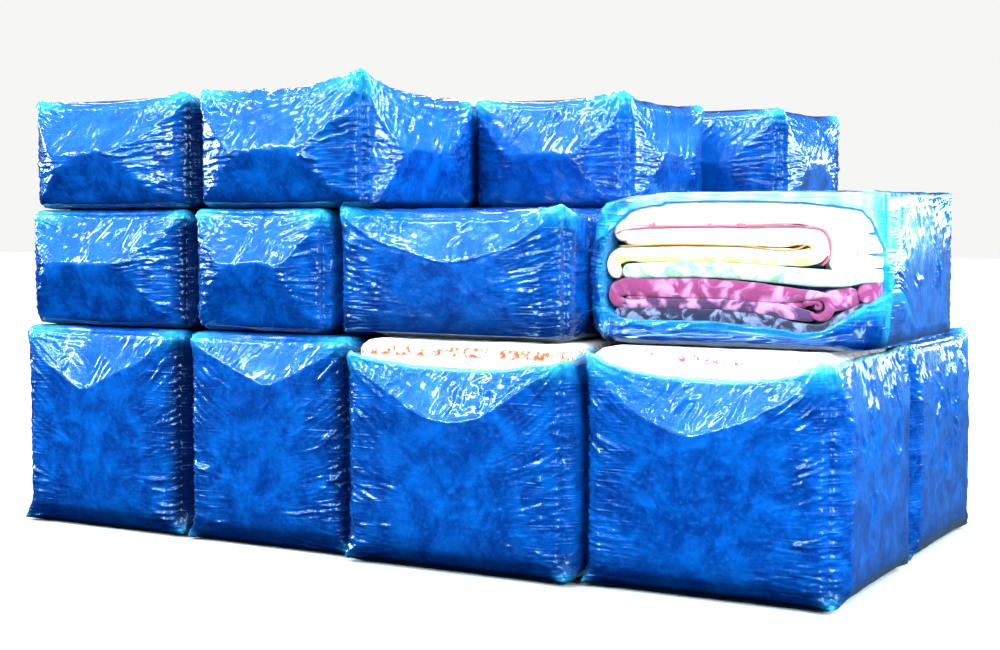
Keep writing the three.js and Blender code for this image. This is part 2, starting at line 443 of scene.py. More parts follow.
@dataclass(frozen=True)
class Mouth:
    """Opening of a bag: a window in its skin whose edge turns in to a hidden floor.

    A top mouth spans across along X and up along Y. A front mouth spans across along X and then
    on round the front right corner along Y, and up along Z.
    """

    side: Side
    across: tuple[float, float]
    up: tuple[float, float]
    deep: float = 0.12

    LIP = (0.0, 0.004, 0.008, 0.013, 0.02)  # ways in from the window's edge
    TURN = (0.0, 0.004, 0.02, 0.6, 1.0)  # and the share of the depth that is reached there

    def depth(self, box: Array, low: Array, high: Array) -> Array:
        """How far each point is pushed in: the turn of its way in from the window's edge.

        Args:
            box: lattice points.
            low: lowest corner.
            high: highest corner.

        Returns:
            Metres inward.
        """
        if self.side is Side.TOP:
            along, over, on = box[:, 0], box[:, 1], box[:, 2] >= high[2]
        else:
            on_right = box[:, 0] >= high[0]
            along = np.where(on_right, high[0] + box[:, 1] - low[1], box[:, 0])
            over, on = box[:, 2], (box[:, 1] <= low[1]) | on_right
        inside = np.minimum.reduce(
            [along - self.across[0], self.across[1] - along, over - self.up[0], self.up[1] - over]
        )
        return np.where(on, np.interp(inside, self.LIP, self.TURN) * self.deep, 0)

    def lines(self, low: Array, high: Array) -> list[list[float]]:
        """Lattice lines that the window's edges need, for each axis.

        Args:
            low: lowest corner.
            high: highest corner.

        Returns:
            Positions along X, Y and Z.
        """
        first = [self.across[0] + way for way in self.LIP]
        last = [self.across[1] - way for way in self.LIP]
        rise = [self.up[0] + way for way in self.LIP] + [self.up[1] - way for way in self.LIP]
        if self.side is Side.TOP:
            return [first + last, rise, []]
        return [first, [low[1] + value - high[0] for value in last], rise]


def graded_lines(low: float, high: float, fine: float | None, extra: list[float]) -> Array:
    """Lattice lines along one axis: even, or wider apart away from the two ends.

    The count of lines is the integral of 1 over the spacing, and the lines are even steps of it.

    Args:
        low: first line.
        high: last line.
        fine: spacing that holds all the way, or None for lines that widen.
        extra: lines that have to be there.

    Returns:
        Increasing positions, metres.
    """
    along = np.linspace(low, high, 400)
    edge = np.minimum(along - low, high - along)
    wide = COARSE_EDGE + (COARSE - COARSE_EDGE) * smooth(edge, *COARSE_BAND)
    density = np.full_like(along, 1 / fine) if fine else 1 / wide
    steps = np.concatenate([[0], np.cumsum((density[1:] + density[:-1]) / 2 * np.diff(along))])
    lines = np.interp(np.linspace(0, steps[-1], int(round(steps[-1])) + 1), steps, along)
    if not extra:
        return lines
    away = np.abs(lines[:, None] - np.array(extra)).min(axis=1)
    keep = away > LINE_GAP
    keep[[0, -1]] = True
    return np.unique(np.concatenate([lines[keep], extra]))


def picked(line: Array, stride: int, hidden: bool) -> tuple[Array, tuple[int, int]]:
    """Picks the lattice lines that a face keeps along one axis.

    Args:
        line: positions of the lattice lines.
        stride: one line is kept out of this many.
        hidden: whether the middle of the face becomes one polygon.

    Returns:
        Numbers of the kept lines, and the first and last of them round a hidden middle.
    """
    kept = np.unique(np.append(np.arange(0, len(line) - 1, stride), len(line) - 1))
    if not hidden:
        return kept, (0, 0)
    inner = (line[kept] >= line[0] + HIDDEN_BORDER) & (line[kept] <= line[-1] - HIDDEN_BORDER)
    ends = np.flatnonzero(inner)[[0, -1]]
    return kept, (int(ends[0]), int(ends[1]))


def border_polygons(codes: Array, rows: Array, columns: Array) -> list[Array]:
    """Polygons of the outermost blocks of a coarse face. On the face's edge they keep every
    lattice point, so that they meet a fine neighbour.

    Args:
        codes: point codes of the whole face.
        rows: kept lines along the first axis.
        columns: kept lines along the second axis.

    Returns:
        One array of codes for each block, going round it.
    """
    polygons = []
    last_row, last_column = len(rows) - 2, len(columns) - 2
    for p in range(last_row + 1):
        outer = p in (0, last_row)
        for q in range(last_column + 1) if outer else (0, last_column):
            i0, i1, j0, j1 = rows[p], rows[p + 1], columns[q], columns[q + 1]
            polygons.append(np.concatenate([
                codes[i0 : i1 if q == 0 else i0 + 1, j0],
                codes[i1, j0 : j1 if p == last_row else j0 + 1],
                codes[i1 : i0 if q == last_column else i1 - 1 : -1, j1],
                codes[i0, j1 : j0 if p == 0 else j1 - 1 : -1],
            ]))
    return polygons


def box_skin(
    lines: list[Array], hidden: set[Side], fine: set[Side]
) -> tuple[Array, list[list[int]]]:
    """Skin of a box of lattice lines. A face that isn't fine keeps one line out of three along
    the axes that are, and a hidden one keeps a border of quads round one polygon.

    Args:
        lines: the lattice lines along X, Y and Z.
        hidden: faces that nothing shows.
        fine: faces that keep every line.

    Returns:
        Points, and faces as lists of point numbers, all facing out.
    """
    counts = [len(line) for line in lines]
    dense = {axis for side in fine for axis in side.plane}
    quads, polygons = [], []
    for side in Side:
        u, v = side.plane
        index = np.zeros((counts[u], counts[v], 3), int)
        index[..., u] = np.arange(counts[u])[:, None]
        index[..., v] = np.arange(counts[v])[None, :]
        index[..., side.axis] = 0 if side.sign < 0 else counts[side.axis] - 1
        codes = (index[..., 0] * counts[1] + index[..., 1]) * counts[2] + index[..., 2]
        way = -1 if side.sign * (-1 if side.axis == 1 else 1) < 0 else 1
        strides = [1 if side in fine or axis not in dense else BLOCK for axis in (u, v)]
        (rows, (a0, a1)), (columns, (b0, b1)) = (
            picked(lines[axis], stride, side in hidden) for axis, stride in zip((u, v), strides)
        )
        few = codes[np.ix_(rows, columns)]
        cells = np.stack([few[:-1, :-1], few[1:, :-1], few[1:, 1:], few[:-1, 1:]], axis=-1)
        keep = np.ones(cells.shape[:2], bool)
        if max(strides) > 1:
            keep[[0, -1]] = False
            keep[:, [0, -1]] = False
            polygons += [ring[::way] for ring in border_polygons(codes, rows, columns)]
        if side in hidden:
            keep[a0:a1, b0:b1] = False
            ring = np.concatenate(
                [few[a0:a1, b0], few[a1, b0:b1], few[a1:a0:-1, b1], few[a0, b1:b0:-1]]
            )
            polygons.append(ring[::way])
        quads.append(cells[keep][:, ::way])
    quads = np.concatenate(quads)
    used, numbers = np.unique(np.concatenate([quads.ravel(), *polygons]), return_inverse=True)
    x, rest = np.divmod(used, counts[1] * counts[2])
    y, z = np.divmod(rest, counts[2])
    points = np.stack([lines[0][x], lines[1][y], lines[2][z]], axis=-1)
    faces = numbers[: quads.size].reshape(-1, 4).tolist()
    ends = quads.size + np.cumsum([0] + [len(ring) for ring in polygons])
    faces += [numbers[start:end].tolist() for start, end in zip(ends, ends[1:])]
    return points, faces


@dataclass
class Skin:
    """A worked out surface: its points, faces and marks, and the plain box that it came from."""

    points: Array
    faces: list[list[int]]
    marks: dict[str, Array]
    box: Array

    def to_piece(self, name: str, material: bpy.types.Material) -> bpy.types.Object:
        """Puts the surface into a smooth-shaded mesh object at the origin.

        Args:
            name: the piece's name.
            material: its finish.

        Returns:
            The new object.
        """
        mesh = bpy.data.meshes.new(name)
        mesh.from_pydata(self.points, [], self.faces)
        for mark, values in self.marks.items():
            layer = mesh.attributes.new(mark, "FLOAT", "POINT")
            layer.data.foreach_set("value", np.clip(values, 0, 1).astype(np.float32))
        mesh.polygons.foreach_set("use_smooth", np.ones(len(mesh.polygons), bool))
        mesh.materials.append(material)
        mesh.update()
        piece = bpy.data.objects.new(name, mesh)
        bpy.context.scene.collection.objects.link(piece)
        return piece


PAINTED_SHADE_DEPTHS = {Side.LEFT: 0.032, Side.RIGHT: 0.072}  # depth of the painted shade in the upright joints, metres


@dataclass
class FilmForm:
    """Surface of a stuffed film bag, worked out on the lattice points of its box."""

    low: Array
    high: Array
    faces: dict[Side, FaceForm]
    seed: int
    fine: set[Side] = field(default_factory=set)
    rounding: Rounding = Rounding()
    mouth: Mouth | None = None
    ears: list[Ear] = field(default_factory=list)
    drag: float = 0.45  # depth over which a face's slopes draw the neighbouring faces along
    puckers: float = 0.009
    lumps: float = 0.0035
    warp: float = 0.15
    foot: float = 0.035  # height of the painted shade towards the bale's foot

    SEEDS = 7  # seeds that each bag has for its faces
    BEND, GATHER, EAR = 300, 900, 901  # and those of its other uses of noise
    FACING = 0.02  # least share of a face's direction with which a point takes its wrinkles
    JOINT_SHADE = 0.9  # darkness of the painted shade at the bottom of a joint
    SLACK_LIGHT = 0.8  # share of that painted shade that slack film takes away
    LUMP_PITCH = (0.17, 0.06)  # metres between the large lumps, and between the small ones
    FAN_PITCH = (0.042, 0.024)  # and the same of a fan's creases
    PLEAT_PITCH = (0.05, 0.027)  # and of the pleats
    GATHER_PITCH = 0.026  # between the gathers on an upright edge
    GATHER_ZONE = 0.16  # how far from the edge they are worked out
    BEAD = 0.002  # height of the low bead under them
    FAN_LENGTH = 0.65  # way from the edge over which a fan's lines close in to half as far apart
    FAINT = 0.01  # creases weaker than this share are left out
    EAR_ZONE = 2.6  # how far from its corner an ear is worked out, in its widths

    def build(self) -> Skin:
        """Works out the skin.

        The box is rounded. Slopes then move each point along each face's normal, less with the
        square of its depth behind the face. Wrinkles and puckers follow the surface's normal,
        the mouth is pushed in, and the ears are pulled out last. Painted shade darkens the film
        towards a face that presses on a neighbour or the floor, by exp of minus the squared share
        of the shade's depth.

        Returns:
            The skin, with its marks.
        """
        extra = self.mouth.lines(self.low, self.high) if self.mouth else [[], [], []]
        dense = {axis for side in self.fine for axis in side.plane}
        lines = [
            graded_lines(self.low[a], self.high[a], FINE[a] if a in dense else None, extra[a])
            for a in range(3)
        ]
        hidden = {side for side, form in self.faces.items() if form.hidden}
        box, faces = box_skin(lines, hidden, self.fine - hidden)
        points, normal = self.rounding.apply(box, self.low, self.high)
        marks = {name: np.zeros(len(box)) for name in MARKS}
        push = self.mouth.depth(box, self.low, self.high) if self.mouth else np.zeros(len(box))
        relief = np.zeros(len(box))
        size = self.high - self.low
        painted_shades = PAINTED_SHADE_DEPTHS | {Side.UNDER: self.foot}
        for number, (side, form) in enumerate(self.faces.items()):
            u, v = side.plane
            s, t = (np.clip((box[:, a] - self.low[a]) / size[a], 0, 1) for a in (u, v))
            s, t = self.bent(s, t, number)
            face_plane = (self.high if side.sign > 0 else self.low)[side.axis]
            depth = np.abs(box[:, side.axis] - face_plane)
            near = depth < self.drag
            share = (1 - depth[near] / self.drag) ** 2
            move = form.proud * smooth(depth[near], self.drag, 0)
            move = move - form.facets.depth(s[near], t[near])
            points[near, side.axis] += side.sign * share * move
            facing = np.clip(normal[:, side.axis] * side.sign, 0, 1) ** 2
            on = (facing > self.FACING) & (push < self.mouth.deep / 2 if self.mouth else True)
            height, found = self.wrinkles(form, s[on], t[on], size[[u, v]], number)
            relief[on] += facing[on] * height
            for name, values in found.items():
                marks[name][on] += facing[on] * values
            if side not in self.fine:
                marks["coarse"][near] = np.maximum(marks["coarse"][near], facing[near])
            # Painted shade: the film darkens towards faces that press on a neighbour or the floor.
            if form.hidden and side in painted_shades:
                shaded = self.JOINT_SHADE * np.exp(-((depth / painted_shades[side]) ** 2))
                marks["shade"] = np.maximum(marks["shade"], shaded)
        self.pucker(box, relief, marks)
        points += normal * (relief - push)[:, None]
        self.pull_ears(box, points, normal, marks)
        marks["shade"] *= 1 - self.SLACK_LIGHT * np.clip(marks["loose"], 0, 1)
        for side, form in self.faces.items():
            if form.hidden:
                bound = (self.high if side.sign > 0 else self.low)[side.axis]
                trim = np.minimum if side.sign > 0 else np.maximum
                points[:, side.axis] = trim(points[:, side.axis], bound)
        return Skin(points, faces, marks, box)

    def noise(self, use: int) -> Noise:
        """Noise of the bag's own for one use."""
        return Noise(self.seed * self.SEEDS + use)

    def bent(self, s: Array, t: Array, number: int) -> tuple[Array, Array]:
        """Lets the fold lines of a face wander: both places move by the warp times s (1 - s), or
        t (1 - t), times noise.

        Args:
            s: place across the face, 0 to 1.
            t: place up the face, 0 to 1.
            number: the face's number, which picks its noise.

        Returns:
            Both places, moved.
        """
        noise = self.noise(self.BEND + number)
        return (
            s + self.warp * s * (1 - s) * noise.at(s * 3.5, t * 3.5),
            t + self.warp * t * (1 - t) * noise.at(s * 3.5, t * 3.5, 5.5),
        )

    def wrinkles(
        self, form: FaceForm, s: Array, t: Array, size: Array, number: int
    ) -> tuple[Array, dict[str, Array]]:
        """Relief of one face: soft lumps of the blankets behind the film, fans of creases from
        its upright edges, and pleats from its upper edge down to the fold.

        A fan is crests of noise along lines that close in on the focus: their distance from it
        is that at the edge, over 1 plus the share of the fan's length that the way in is. It
        fades by exp of minus the squared share of the reach, or follows the wing of a slope, and
        is stronger in clusters and where it glints. Pleats are crests of noise along lines that
        lean by the lean, times the flap's share. A ridge is its height times its strength times
        0.7 plus 0.6 of the noise.

        Args:
            form: the face's slopes and wrinkle heights.
            s: place across it, 0 to 1.
            t: place up it, 0 to 1.
            size: its width and height.
            number: its number, which picks its own stretch of the noise.

        Returns:
            Metres outward, and the marks that the wrinkles add.
        """
        noise = self.noise(number)
        a, b = s * size[0], t * size[1]
        large, small = self.LUMP_PITCH
        relief = noise.at(a / large, b / large) + 0.4 * noise.at(a / small, b / small, 7)
        relief = self.lumps * relief
        marks: dict[str, Array] = {}
        if form.fans:
            marks["fan"] = np.zeros_like(a)
            for edge, away in ((0, a), (1, size[0] - a)):
                reach = form.reach * (1 + 0.4 * noise.at(b / 0.3, edge + 0.5))
                fade = np.exp(-((away / reach) ** 2))
                if form.facets.winged:
                    fade = np.maximum(0.5 * fade, form.facets.wing(s, t, edge == 0))
                near = fade > self.FAINT
                way, rise, fall_off = away[near], b[near], fade[near]
                focus = form.focus * size[1]
                line = focus + (rise - focus) * (1 + np.clip(way / self.FAN_LENGTH, 0, 1))
                slant = 0.12 * way * noise.at(rise / 0.25, 3.3 * edge)
                large, small = self.FAN_PITCH
                crease = noise.creases((line + slant) / large, way / 0.25, 5 * edge)
                fine = noise.creases((line - slant) / small, way / 0.1, 9 + edge)
                cluster = 0.25 + 0.75 * smooth(noise.at(rise / 0.15, 2 * edge + 7), -0.35, 0.35)
                glint = smooth(noise.at(line / 0.06, way / 0.22, 13 + edge), 0.3, 0.55)
                glint = glint * smooth(way, 0.02, 0.09)
                relief[near] += form.fans * fall_off * (
                    cluster * (crease + 0.65 * fine) + 1.6 * glint * (crease + noise.CREST_MEAN)
                )
                marks["fan"] += fade
        if form.pleats:
            flap = form.facets.flap(s, t)
            near = flap > self.FAINT
            lift = flap[near]
            from_top = (size[1] - b)[near]
            across = a[near] + form.lean * from_top
            across = across + 0.03 * noise.at(a[near] / 0.12, from_top / 0.12)
            large, small = self.PLEAT_PITCH
            tuck = noise.creases(across / large, from_top / 0.2, 4.2)
            fine = noise.creases(across / small, from_top / 0.1, 8.2)
            cluster = 0.15 + 0.85 * smooth(noise.at(a[near] / 0.16, from_top / 0.2, 6), -0.2, 0.35)
            relief[near] += form.pleats * lift * cluster * (tuck + 0.5 * fine)
            marks["pleat"] = flap * form.gathers
        if form.ridge:
            line = form.facets.ridge(s, t) * (0.7 + 0.6 * noise.at(a / 0.08, b / 0.08, 3))
            relief += form.ridge * line
        return relief, marks

    def pucker(self, box: Array, relief: Array, marks: dict[str, Array]) -> None:
        """Adds the small gathers that cross each upright edge, a sharp crest every 26 mm or so,
        on a low bead that follows the edge. Both fade by exp of minus the squared share of a
        band round the edge, and the crests are higher in clusters.

        Args:
            box: lattice points.
            relief: metres along the surface's normal, added to.
            marks: attributes, added to.
        """
        noise = self.noise(self.GATHER)
        for i, (sx, sy) in enumerate([(0, 0), (1, 0), (0, 1), (1, 1)]):
            corner_x = (self.low, self.high)[sx][0]
            corner_y = (self.low, self.high)[sy][1]
            away = np.abs(box[:, 0] - corner_x) + np.abs(box[:, 1] - corner_y)
            on = away < self.GATHER_ZONE
            way, height = away[on], box[on, 2]
            band = 0.055 + 0.03 * noise.at(height / 0.05, 3 * i)
            rise = (height + 0.15 * way) / self.GATHER_PITCH
            gather = noise.creases(rise, 3 * i + 0.5, way / 0.09)
            cluster = 0.35 + 0.65 * smooth(noise.at(height / 0.12, 3 * i + 1), -0.6, 0.1)
            crest = self.puckers * cluster * gather + self.BEAD
            relief[on] += np.exp(-((way / band) ** 2)) * crest
            marks["fan"][on] += np.exp(-((way / 0.04) ** 2))

    def pull_ears(
        self, box: Array, points: Array, normal: Array, marks: dict[str, Array]
    ) -> None:
        """Pulls each ear's film out: the pull times exp of minus the distance to the power 1.3,
        counted in the ear's widths, with gathers that run to its tip.

        Args:
            box: lattice points.
            points: points on the surface, moved.
            normal: outward directions.
            marks: attributes, added to.
        """
        noise = self.noise(self.EAR)
        for i, ear in enumerate(self.ears):
            tip = np.where(np.array(ear.corner) > 0, self.high, self.low)
            offset = (box - tip) / np.array(ear.width)
            away = np.linalg.norm(offset, axis=1)
            on = away < self.EAR_ZONE
            ragged = 1 + 0.35 * noise.at(*(box[on] / 0.05).T)
            near = np.exp(-((away[on] * ragged) ** 1.3))
            turn = np.arctan2(offset[on, 2], offset[on, 0] - offset[on, 1])
            gather = noise.creases(turn / 0.25, away[on] / 2, 3 * i)
            points[on] += near[:, None] * np.array(ear.pull)
            points[on] += normal[on] * (0.02 * near * (1 - near) * gather)[:, None]
            marks["loose"][on] += ear.loose * np.exp(-((away[on] / 0.95) ** 2))


def smooth_path(knots: Array, step: float) -> Array:
    """Curve through knots, with even steps.

    Between two knots it is a cubic whose slope at a knot is the mean of the slopes of the two
    chords there, each weighted by the other's length.

    Args:
        knots: one row for each knot; the first two columns give the distance between knots.
        step: distance between the points that are returned.

    Returns:
        One row for each point, with the knots' columns.
    """
    chord = np.linalg.norm(np.diff(knots[:, :2], axis=0), axis=1)
    at = np.concatenate([[0], np.cumsum(chord)])
    slope = np.diff(knots, axis=0) / chord[:, None]
    middle = (slope[1:] * chord[:-1, None] + slope[:-1] * chord[1:, None]) / (
        chord[1:] + chord[:-1]
    )[:, None]
    tangent = np.concatenate([slope[:1], middle, slope[-1:]])
    where = np.linspace(0, at[-1], int(at[-1] / step) + 2)
    k = np.clip(np.searchsorted(at, where, side="right") - 1, 0, len(chord) - 1)
    h = chord[k][:, None]
    u = ((where - at[k]) / chord[k])[:, None]
    return (
        (2 * u**3 - 3 * u**2 + 1) * knots[k]
        + (u**3 - 2 * u**2 + u) * h * tangent[k]
        + (3 * u**2 - 2 * u**3) * knots[k + 1]
        + (u**3 - u**2) * h * tangent[k + 1]
    )


def arc(
    centre: tuple[float, float], radii: tuple[float, float], degrees: tuple[float, float],
    half: tuple[float, float], count: int = 5,
) -> list[tuple[float, float, float]]:
    """Knots on an arc or spiral of a fold line: the radius and half thickness run evenly between
    their two values as the angle does.

    Args:
        centre: its middle, as the way along the front and the height.
        radii: radius at the start and the end.
        degrees: angle at the start and the end, anticlockwise from the right.
        half: half of the blanket's thickness at the start and the end.
        count: number of knots.

    Returns:
        The knots, as way, height and half thickness.
    """
    angle = np.radians(np.linspace(*degrees, count))
    radius = np.linspace(*radii, count)
    thick = np.linspace(*half, count)
    along = centre[0] + radius * np.cos(angle)
    return list(zip(along.tolist(), (centre[1] + radius * np.sin(angle)).tolist(), thick.tolist()))


@dataclass(frozen=True)
class FrontOutline:
    """Line round the front of the blankets in the front-open bale, seen from above."""

    front: float
    right: float
    back: float
    radius: float = 0.2

    def at(self, along: Array) -> tuple[Array, Array]:
        """X and Y after a way along: straight to the right, then a quarter arc, then back.

        Args:
            along: way along the line.

        Returns:
            The two coordinates.
        """
        start = self.right - self.radius
        turn = np.clip((along - start) / self.radius, 0, math.pi / 2)
        over = np.clip(along - start - self.radius * math.pi / 2, 0, None)
        x = np.minimum(along, start) + self.radius * np.sin(turn)
        return x, self.front + self.radius * (1 - np.cos(turn)) + over


@dataclass(frozen=True)
class FleeceSheet:
    """One thick fold line of a blanket, seen from the front, and carried back through the bale.

    knots give the way along the front, the height and half of the thickness.
    """

    knots: list[tuple[float, float, float]]
    set_back: float = 0.0
    nose: float = 0.022
    step: float = 0.008
    reverse_from: float = 2.0  # share of the line from which the cloth's other side shows
    tuck: float = 0.09  # how far it moves to the left behind the nose, clear of the film

    NOSE_STEPS = 12
    BACK_SHARES = (0.12, 0.5, 1.0)

    def build(self, outline: FrontOutline, seed: int) -> Skin:
        """Carries a loop along the fold line.

        The loop lies in the plane of the fold line's normal and the way back: a half ellipse at
        the front, half a thickness high and the nose deep, and two straight sides behind it. The
        thickness falls as a circle does over the last half thickness of the line.

        Args:
            outline: line that the front of the blanket follows.
            seed: picks its lumps.

        Returns:
            The skin of one closed body.
        """
        noise = Noise(seed)
        path = smooth_path(np.array(self.knots), self.step)
        way, height, half = path.T
        height = height + 0.004 * noise.at(way / 0.22, 0.5)
        half = half * (1.06 + 0.08 * noise.at(way / 0.09, height / 0.1))
        ahead = np.gradient(np.stack([way, height], axis=1), axis=0)
        ahead /= np.linalg.norm(ahead, axis=1, keepdims=True)
        length = self.step * np.arange(len(way))
        to_end = np.minimum(length, length[-1] - length)
        taper = np.sqrt(np.clip(1 - (1 - np.clip(to_end / half, 0, 1)) ** 2, 0.004, 1))
        angle = np.linspace(-math.pi / 2, math.pi / 2, self.NOSE_STEPS)
        rise = np.concatenate([[-1] * 3, np.sin(angle), [1] * 3])
        dip = np.concatenate([[1] * 3, 1 - np.clip(np.cos(angle), 0, 1) ** 0.55, [1] * 3])
        behind = np.concatenate([self.BACK_SHARES[::-1], [0] * self.NOSE_STEPS, self.BACK_SHARES])
        offset = (half * taper)[:, None] * rise
        along = way[:, None] - ahead[:, 1:] * offset
        up = height[:, None] + ahead[:, :1] * offset
        x, y = outline.at(along)
        x = x - self.tuck * np.clip(behind / self.BACK_SHARES[0], 0, 1)
        soft = 0.005 * noise.at(along / 0.07, up / 0.05) + 0.002 * noise.at(along / 0.02, up / 0.02)
        deep = self.set_back + self.nose * (dip + 1 - taper[:, None]) + soft * (1 - 0.7 * dip)
        y = y + deep
        y = y + behind * (outline.back - y)
        rows, columns = up.shape
        points = np.stack([x, y, up], axis=-1).reshape(-1, 3)
        number = np.arange(rows * columns).reshape(rows, columns)
        ring = np.roll(number, -1, axis=1)
        quads = np.stack([number[:-1], ring[:-1], ring[1:], number[1:]], axis=-1).reshape(-1, 4)
        caps = [number[0][::-1].tolist(), number[-1].tolist()]
        turned = smooth(length / length[-1], self.reverse_from, self.reverse_from + 0.01)
        marks = {"reverse": np.repeat(turned, columns)}
        return Skin(points, quads.tolist() + caps, marks, points.copy())


def joined(skins: list[Skin]) -> Skin:
    """One skin of several bodies: their points on end, with the faces' numbers moved up.

    Args:
        skins: the bodies.

    Returns:
        The one skin.
    """
    starts = np.cumsum([0] + [len(skin.points) for skin in skins])
    faces = [
        [number + int(start) for number in face]
        for skin, start in zip(skins, starts)
        for face in skin.faces
    ]
    points = np.concatenate([skin.points for skin in skins])
    marks = {"reverse": np.concatenate([skin.marks["reverse"] for skin in skins])}
    return Skin(points, faces, marks, points.copy())


@dataclass(frozen=True)
class PolytheneFilm:
    """Blown low-density polythene film, tinted blue, drawn over soft blankets.

    The eye sees a deep, saturated blue with hard white glints along its creases, paler patches
    where it stands off the blankets, a light cyan where loose film is doubled, nearly the
    blankets' own white where a clear layer lies on them, and navy painted shade in the joints of
    the stack and at the bales' feet.
    The finest real crinkles are a few millimetres wide, too fine to show, so they are drawn as
    wide as they need to show.
    """

    name: str = "polythene_film_blown_blue"
    deep: str = "#002F7A"
    body: str = "#0058B4"
    pale: str = "#1270D0"
    cyan: str = "#2CB4E8"
    clear: str = "#B4E2E8"
    # navy of the painted shade in the joints and at the feet
    joint: str = "#00103E"
    glint: str = "#BFE6FF"
    patch_mm: float = 120.0
    cling_mm: float = 26.0
    crinkle_mm: float = 28.0
    tuck_mm: float = 16.0
    tucks_down: float = 7.0  # how often a tuck ends in each metre down
    streaks: tuple[float, float, float] = (7.0, 7.0, 70.0)  # in each metre along X, Y and Z
    fold_mm: tuple[float, float, float] = (260.0, 260.0, 75.0)  # long, slanted folds
    roughness: float = 0.24
    refraction: float = 1.51

    def make(self) -> bpy.types.Material:
        """Builds the node tree.

        Returns:
            The material.
        """
        material = bpy.data.materials.new(self.name)
        material.use_nodes = True
        tree = material.node_tree
        tree.nodes.clear()
        place = add_node(tree, "ShaderNodeTexCoord", {}, {}).outputs["Object"]
        marks = {
            mark: add_node(tree, "ShaderNodeAttribute", {"attribute_name": mark}, {}).outputs["Fac"]
            for mark in MARKS
        }
        shader = add_node(
            tree, "ShaderNodeBsdfPrincipled", {},
            {"Base Color": self.colour(tree, place, marks), "Roughness": self.roughness,
             "IOR": self.refraction, "Specular Tint": linear(self.glint),
             "Coat Weight": 1.0, "Coat Roughness": 0.05,
             "Normal": self.relief(tree, place, marks)},
        )
        add_node(tree, "ShaderNodeOutputMaterial", {}, {"Surface": shader.outputs[0]})
        return material

    def colour(
        self, tree: bpy.types.NodeTree, place: bpy.types.NodeSocket,
        marks: dict[str, bpy.types.NodeSocket],
    ) -> bpy.types.NodeSocket:
        """Adds the film's colour: broad patches of two blues, and over them in turn the small
        spots where it clings, the lifted flaps, the doubled film, the clear layer and the painted
        shade of the joints and feet.

        Args:
            tree: node tree that gets the nodes.
            place: place on the piece.
            marks: value of each mark.

        Returns:
            The colour.
        """
        patches = add_node(
            tree, "ShaderNodeTexNoise", {},
            {"Vector": place, "Scale": 1000 / self.patch_mm, "Detail": 4.0, "Roughness": 0.62,
             "Distortion": 0.5},
        )
        cling = add_node(
            tree, "ShaderNodeTexNoise", {},
            {"Vector": place, "Scale": 1000 / self.cling_mm, "Detail": 3.0, "Roughness": 0.6},
        )
        tone = add_node(
            tree, "ShaderNodeMapRange", {"interpolation_type": "SMOOTHSTEP"},
            {"Value": patches.outputs["Fac"], "From Min": 0.32, "From Max": 0.76},
        )
        spots = add_node(
            tree, "ShaderNodeMapRange", {"interpolation_type": "SMOOTHSTEP"},
            {"Value": cling.outputs["Fac"], "From Min": 0.48, "From Max": 0.75, "To Max": 0.3},
        )
        lifted = add_node(
            tree, "ShaderNodeMath", {"operation": "MULTIPLY"}, {0: marks["pleat"], 1: 0.35}
        )
        doubled = add_node(
            tree, "ShaderNodeMath", {"operation": "MULTIPLY"},
            {0: marks["loose"], 1: cling.outputs["Fac"]},
        )
        doubled = add_node(
            tree, "ShaderNodeMath", {"operation": "MULTIPLY", "use_clamp": True},
            {0: doubled.outputs[0], 1: 1.7},
        )
        mixed: bpy.types.NodeSocket | tuple[float, ...] = linear(self.deep)
        for factor, tint in (
            (tone.outputs["Result"], self.body),
            (spots.outputs["Result"], self.pale),
            (lifted.outputs[0], self.pale),
            (doubled.outputs[0], self.cyan),
            (marks["clear"], self.clear),
            # painted shade: navy mixed in towards the joints and the feet
            (marks["shade"], self.joint),
        ):
            mixed = add_node(
                tree, "ShaderNodeMix", {"data_type": "RGBA"},
                {"Factor": factor, 6: mixed, 7: linear(tint)},
            ).outputs[2]
        return mixed

    def relief(
        self, tree: bpy.types.NodeTree, place: bpy.types.NodeSocket,
        marks: dict[str, bpy.types.NodeSocket],
    ) -> bpy.types.NodeSocket:
        """Adds the creases that are too fine for the mesh, one bump over the other: crinkles all
        over, level streaks in the fans, upright tucks in the pleats, and slanted folds where the
        lattice is coarse.

        Args:
            tree: node tree that gets the nodes.
            place: place on the piece.
            marks: value of each mark.

        Returns:
            The bent normal.
        """
        level = add_node(tree, "ShaderNodeMapping", {}, {"Vector": place, "Scale": self.streaks})
        across = add_node(
            tree, "ShaderNodeVectorMath", {"operation": "DOT_PRODUCT"},
            {0: place, 1: (1000 / self.tuck_mm, 1000 / self.tuck_mm, -500 / self.tuck_mm)},
        )
        down = add_node(tree, "ShaderNodeSeparateXYZ", {}, {0: place}).outputs["Z"]
        down = add_node(
            tree, "ShaderNodeMath", {"operation": "MULTIPLY"}, {0: down, 1: self.tucks_down}
        )
        upright = add_node(
            tree, "ShaderNodeCombineXYZ", {}, {0: across.outputs["Value"], 1: down.outputs[0]}
        )
        slanted = add_node(
            tree, "ShaderNodeMapping", {"vector_type": "TEXTURE"},
            {"Vector": place, "Rotation": (0.5, 0.35, 0.0),
             "Scale": tuple(size / 1000 for size in self.fold_mm)},
        )
        crinkle = add_node(
            tree, "ShaderNodeTexNoise", {},
            {"Vector": place, "Scale": 1000 / self.crinkle_mm, "Detail": 4.0},
        )
        streaks, tucks, folds = (
            add_node(
                tree, "ShaderNodeTexNoise", {"noise_type": "RIDGED_MULTIFRACTAL"},
                {"Vector": vector.outputs[0], "Scale": 1.0, "Detail": detail,
                 "Distortion": distortion},
            )
            for vector, detail, distortion in (
                (level, 2.0, 0.0), (upright, 2.0, 0.0), (slanted, 1.5, 0.5)
            )
        )
        tuck_strength, fold_strength = (
            add_node(tree, "ShaderNodeMath", {"operation": "MULTIPLY"}, {0: marks[mark], 1: 0.6})
            for mark in ("pleat", "coarse")
        )
        normal: dict[object, object] = {}
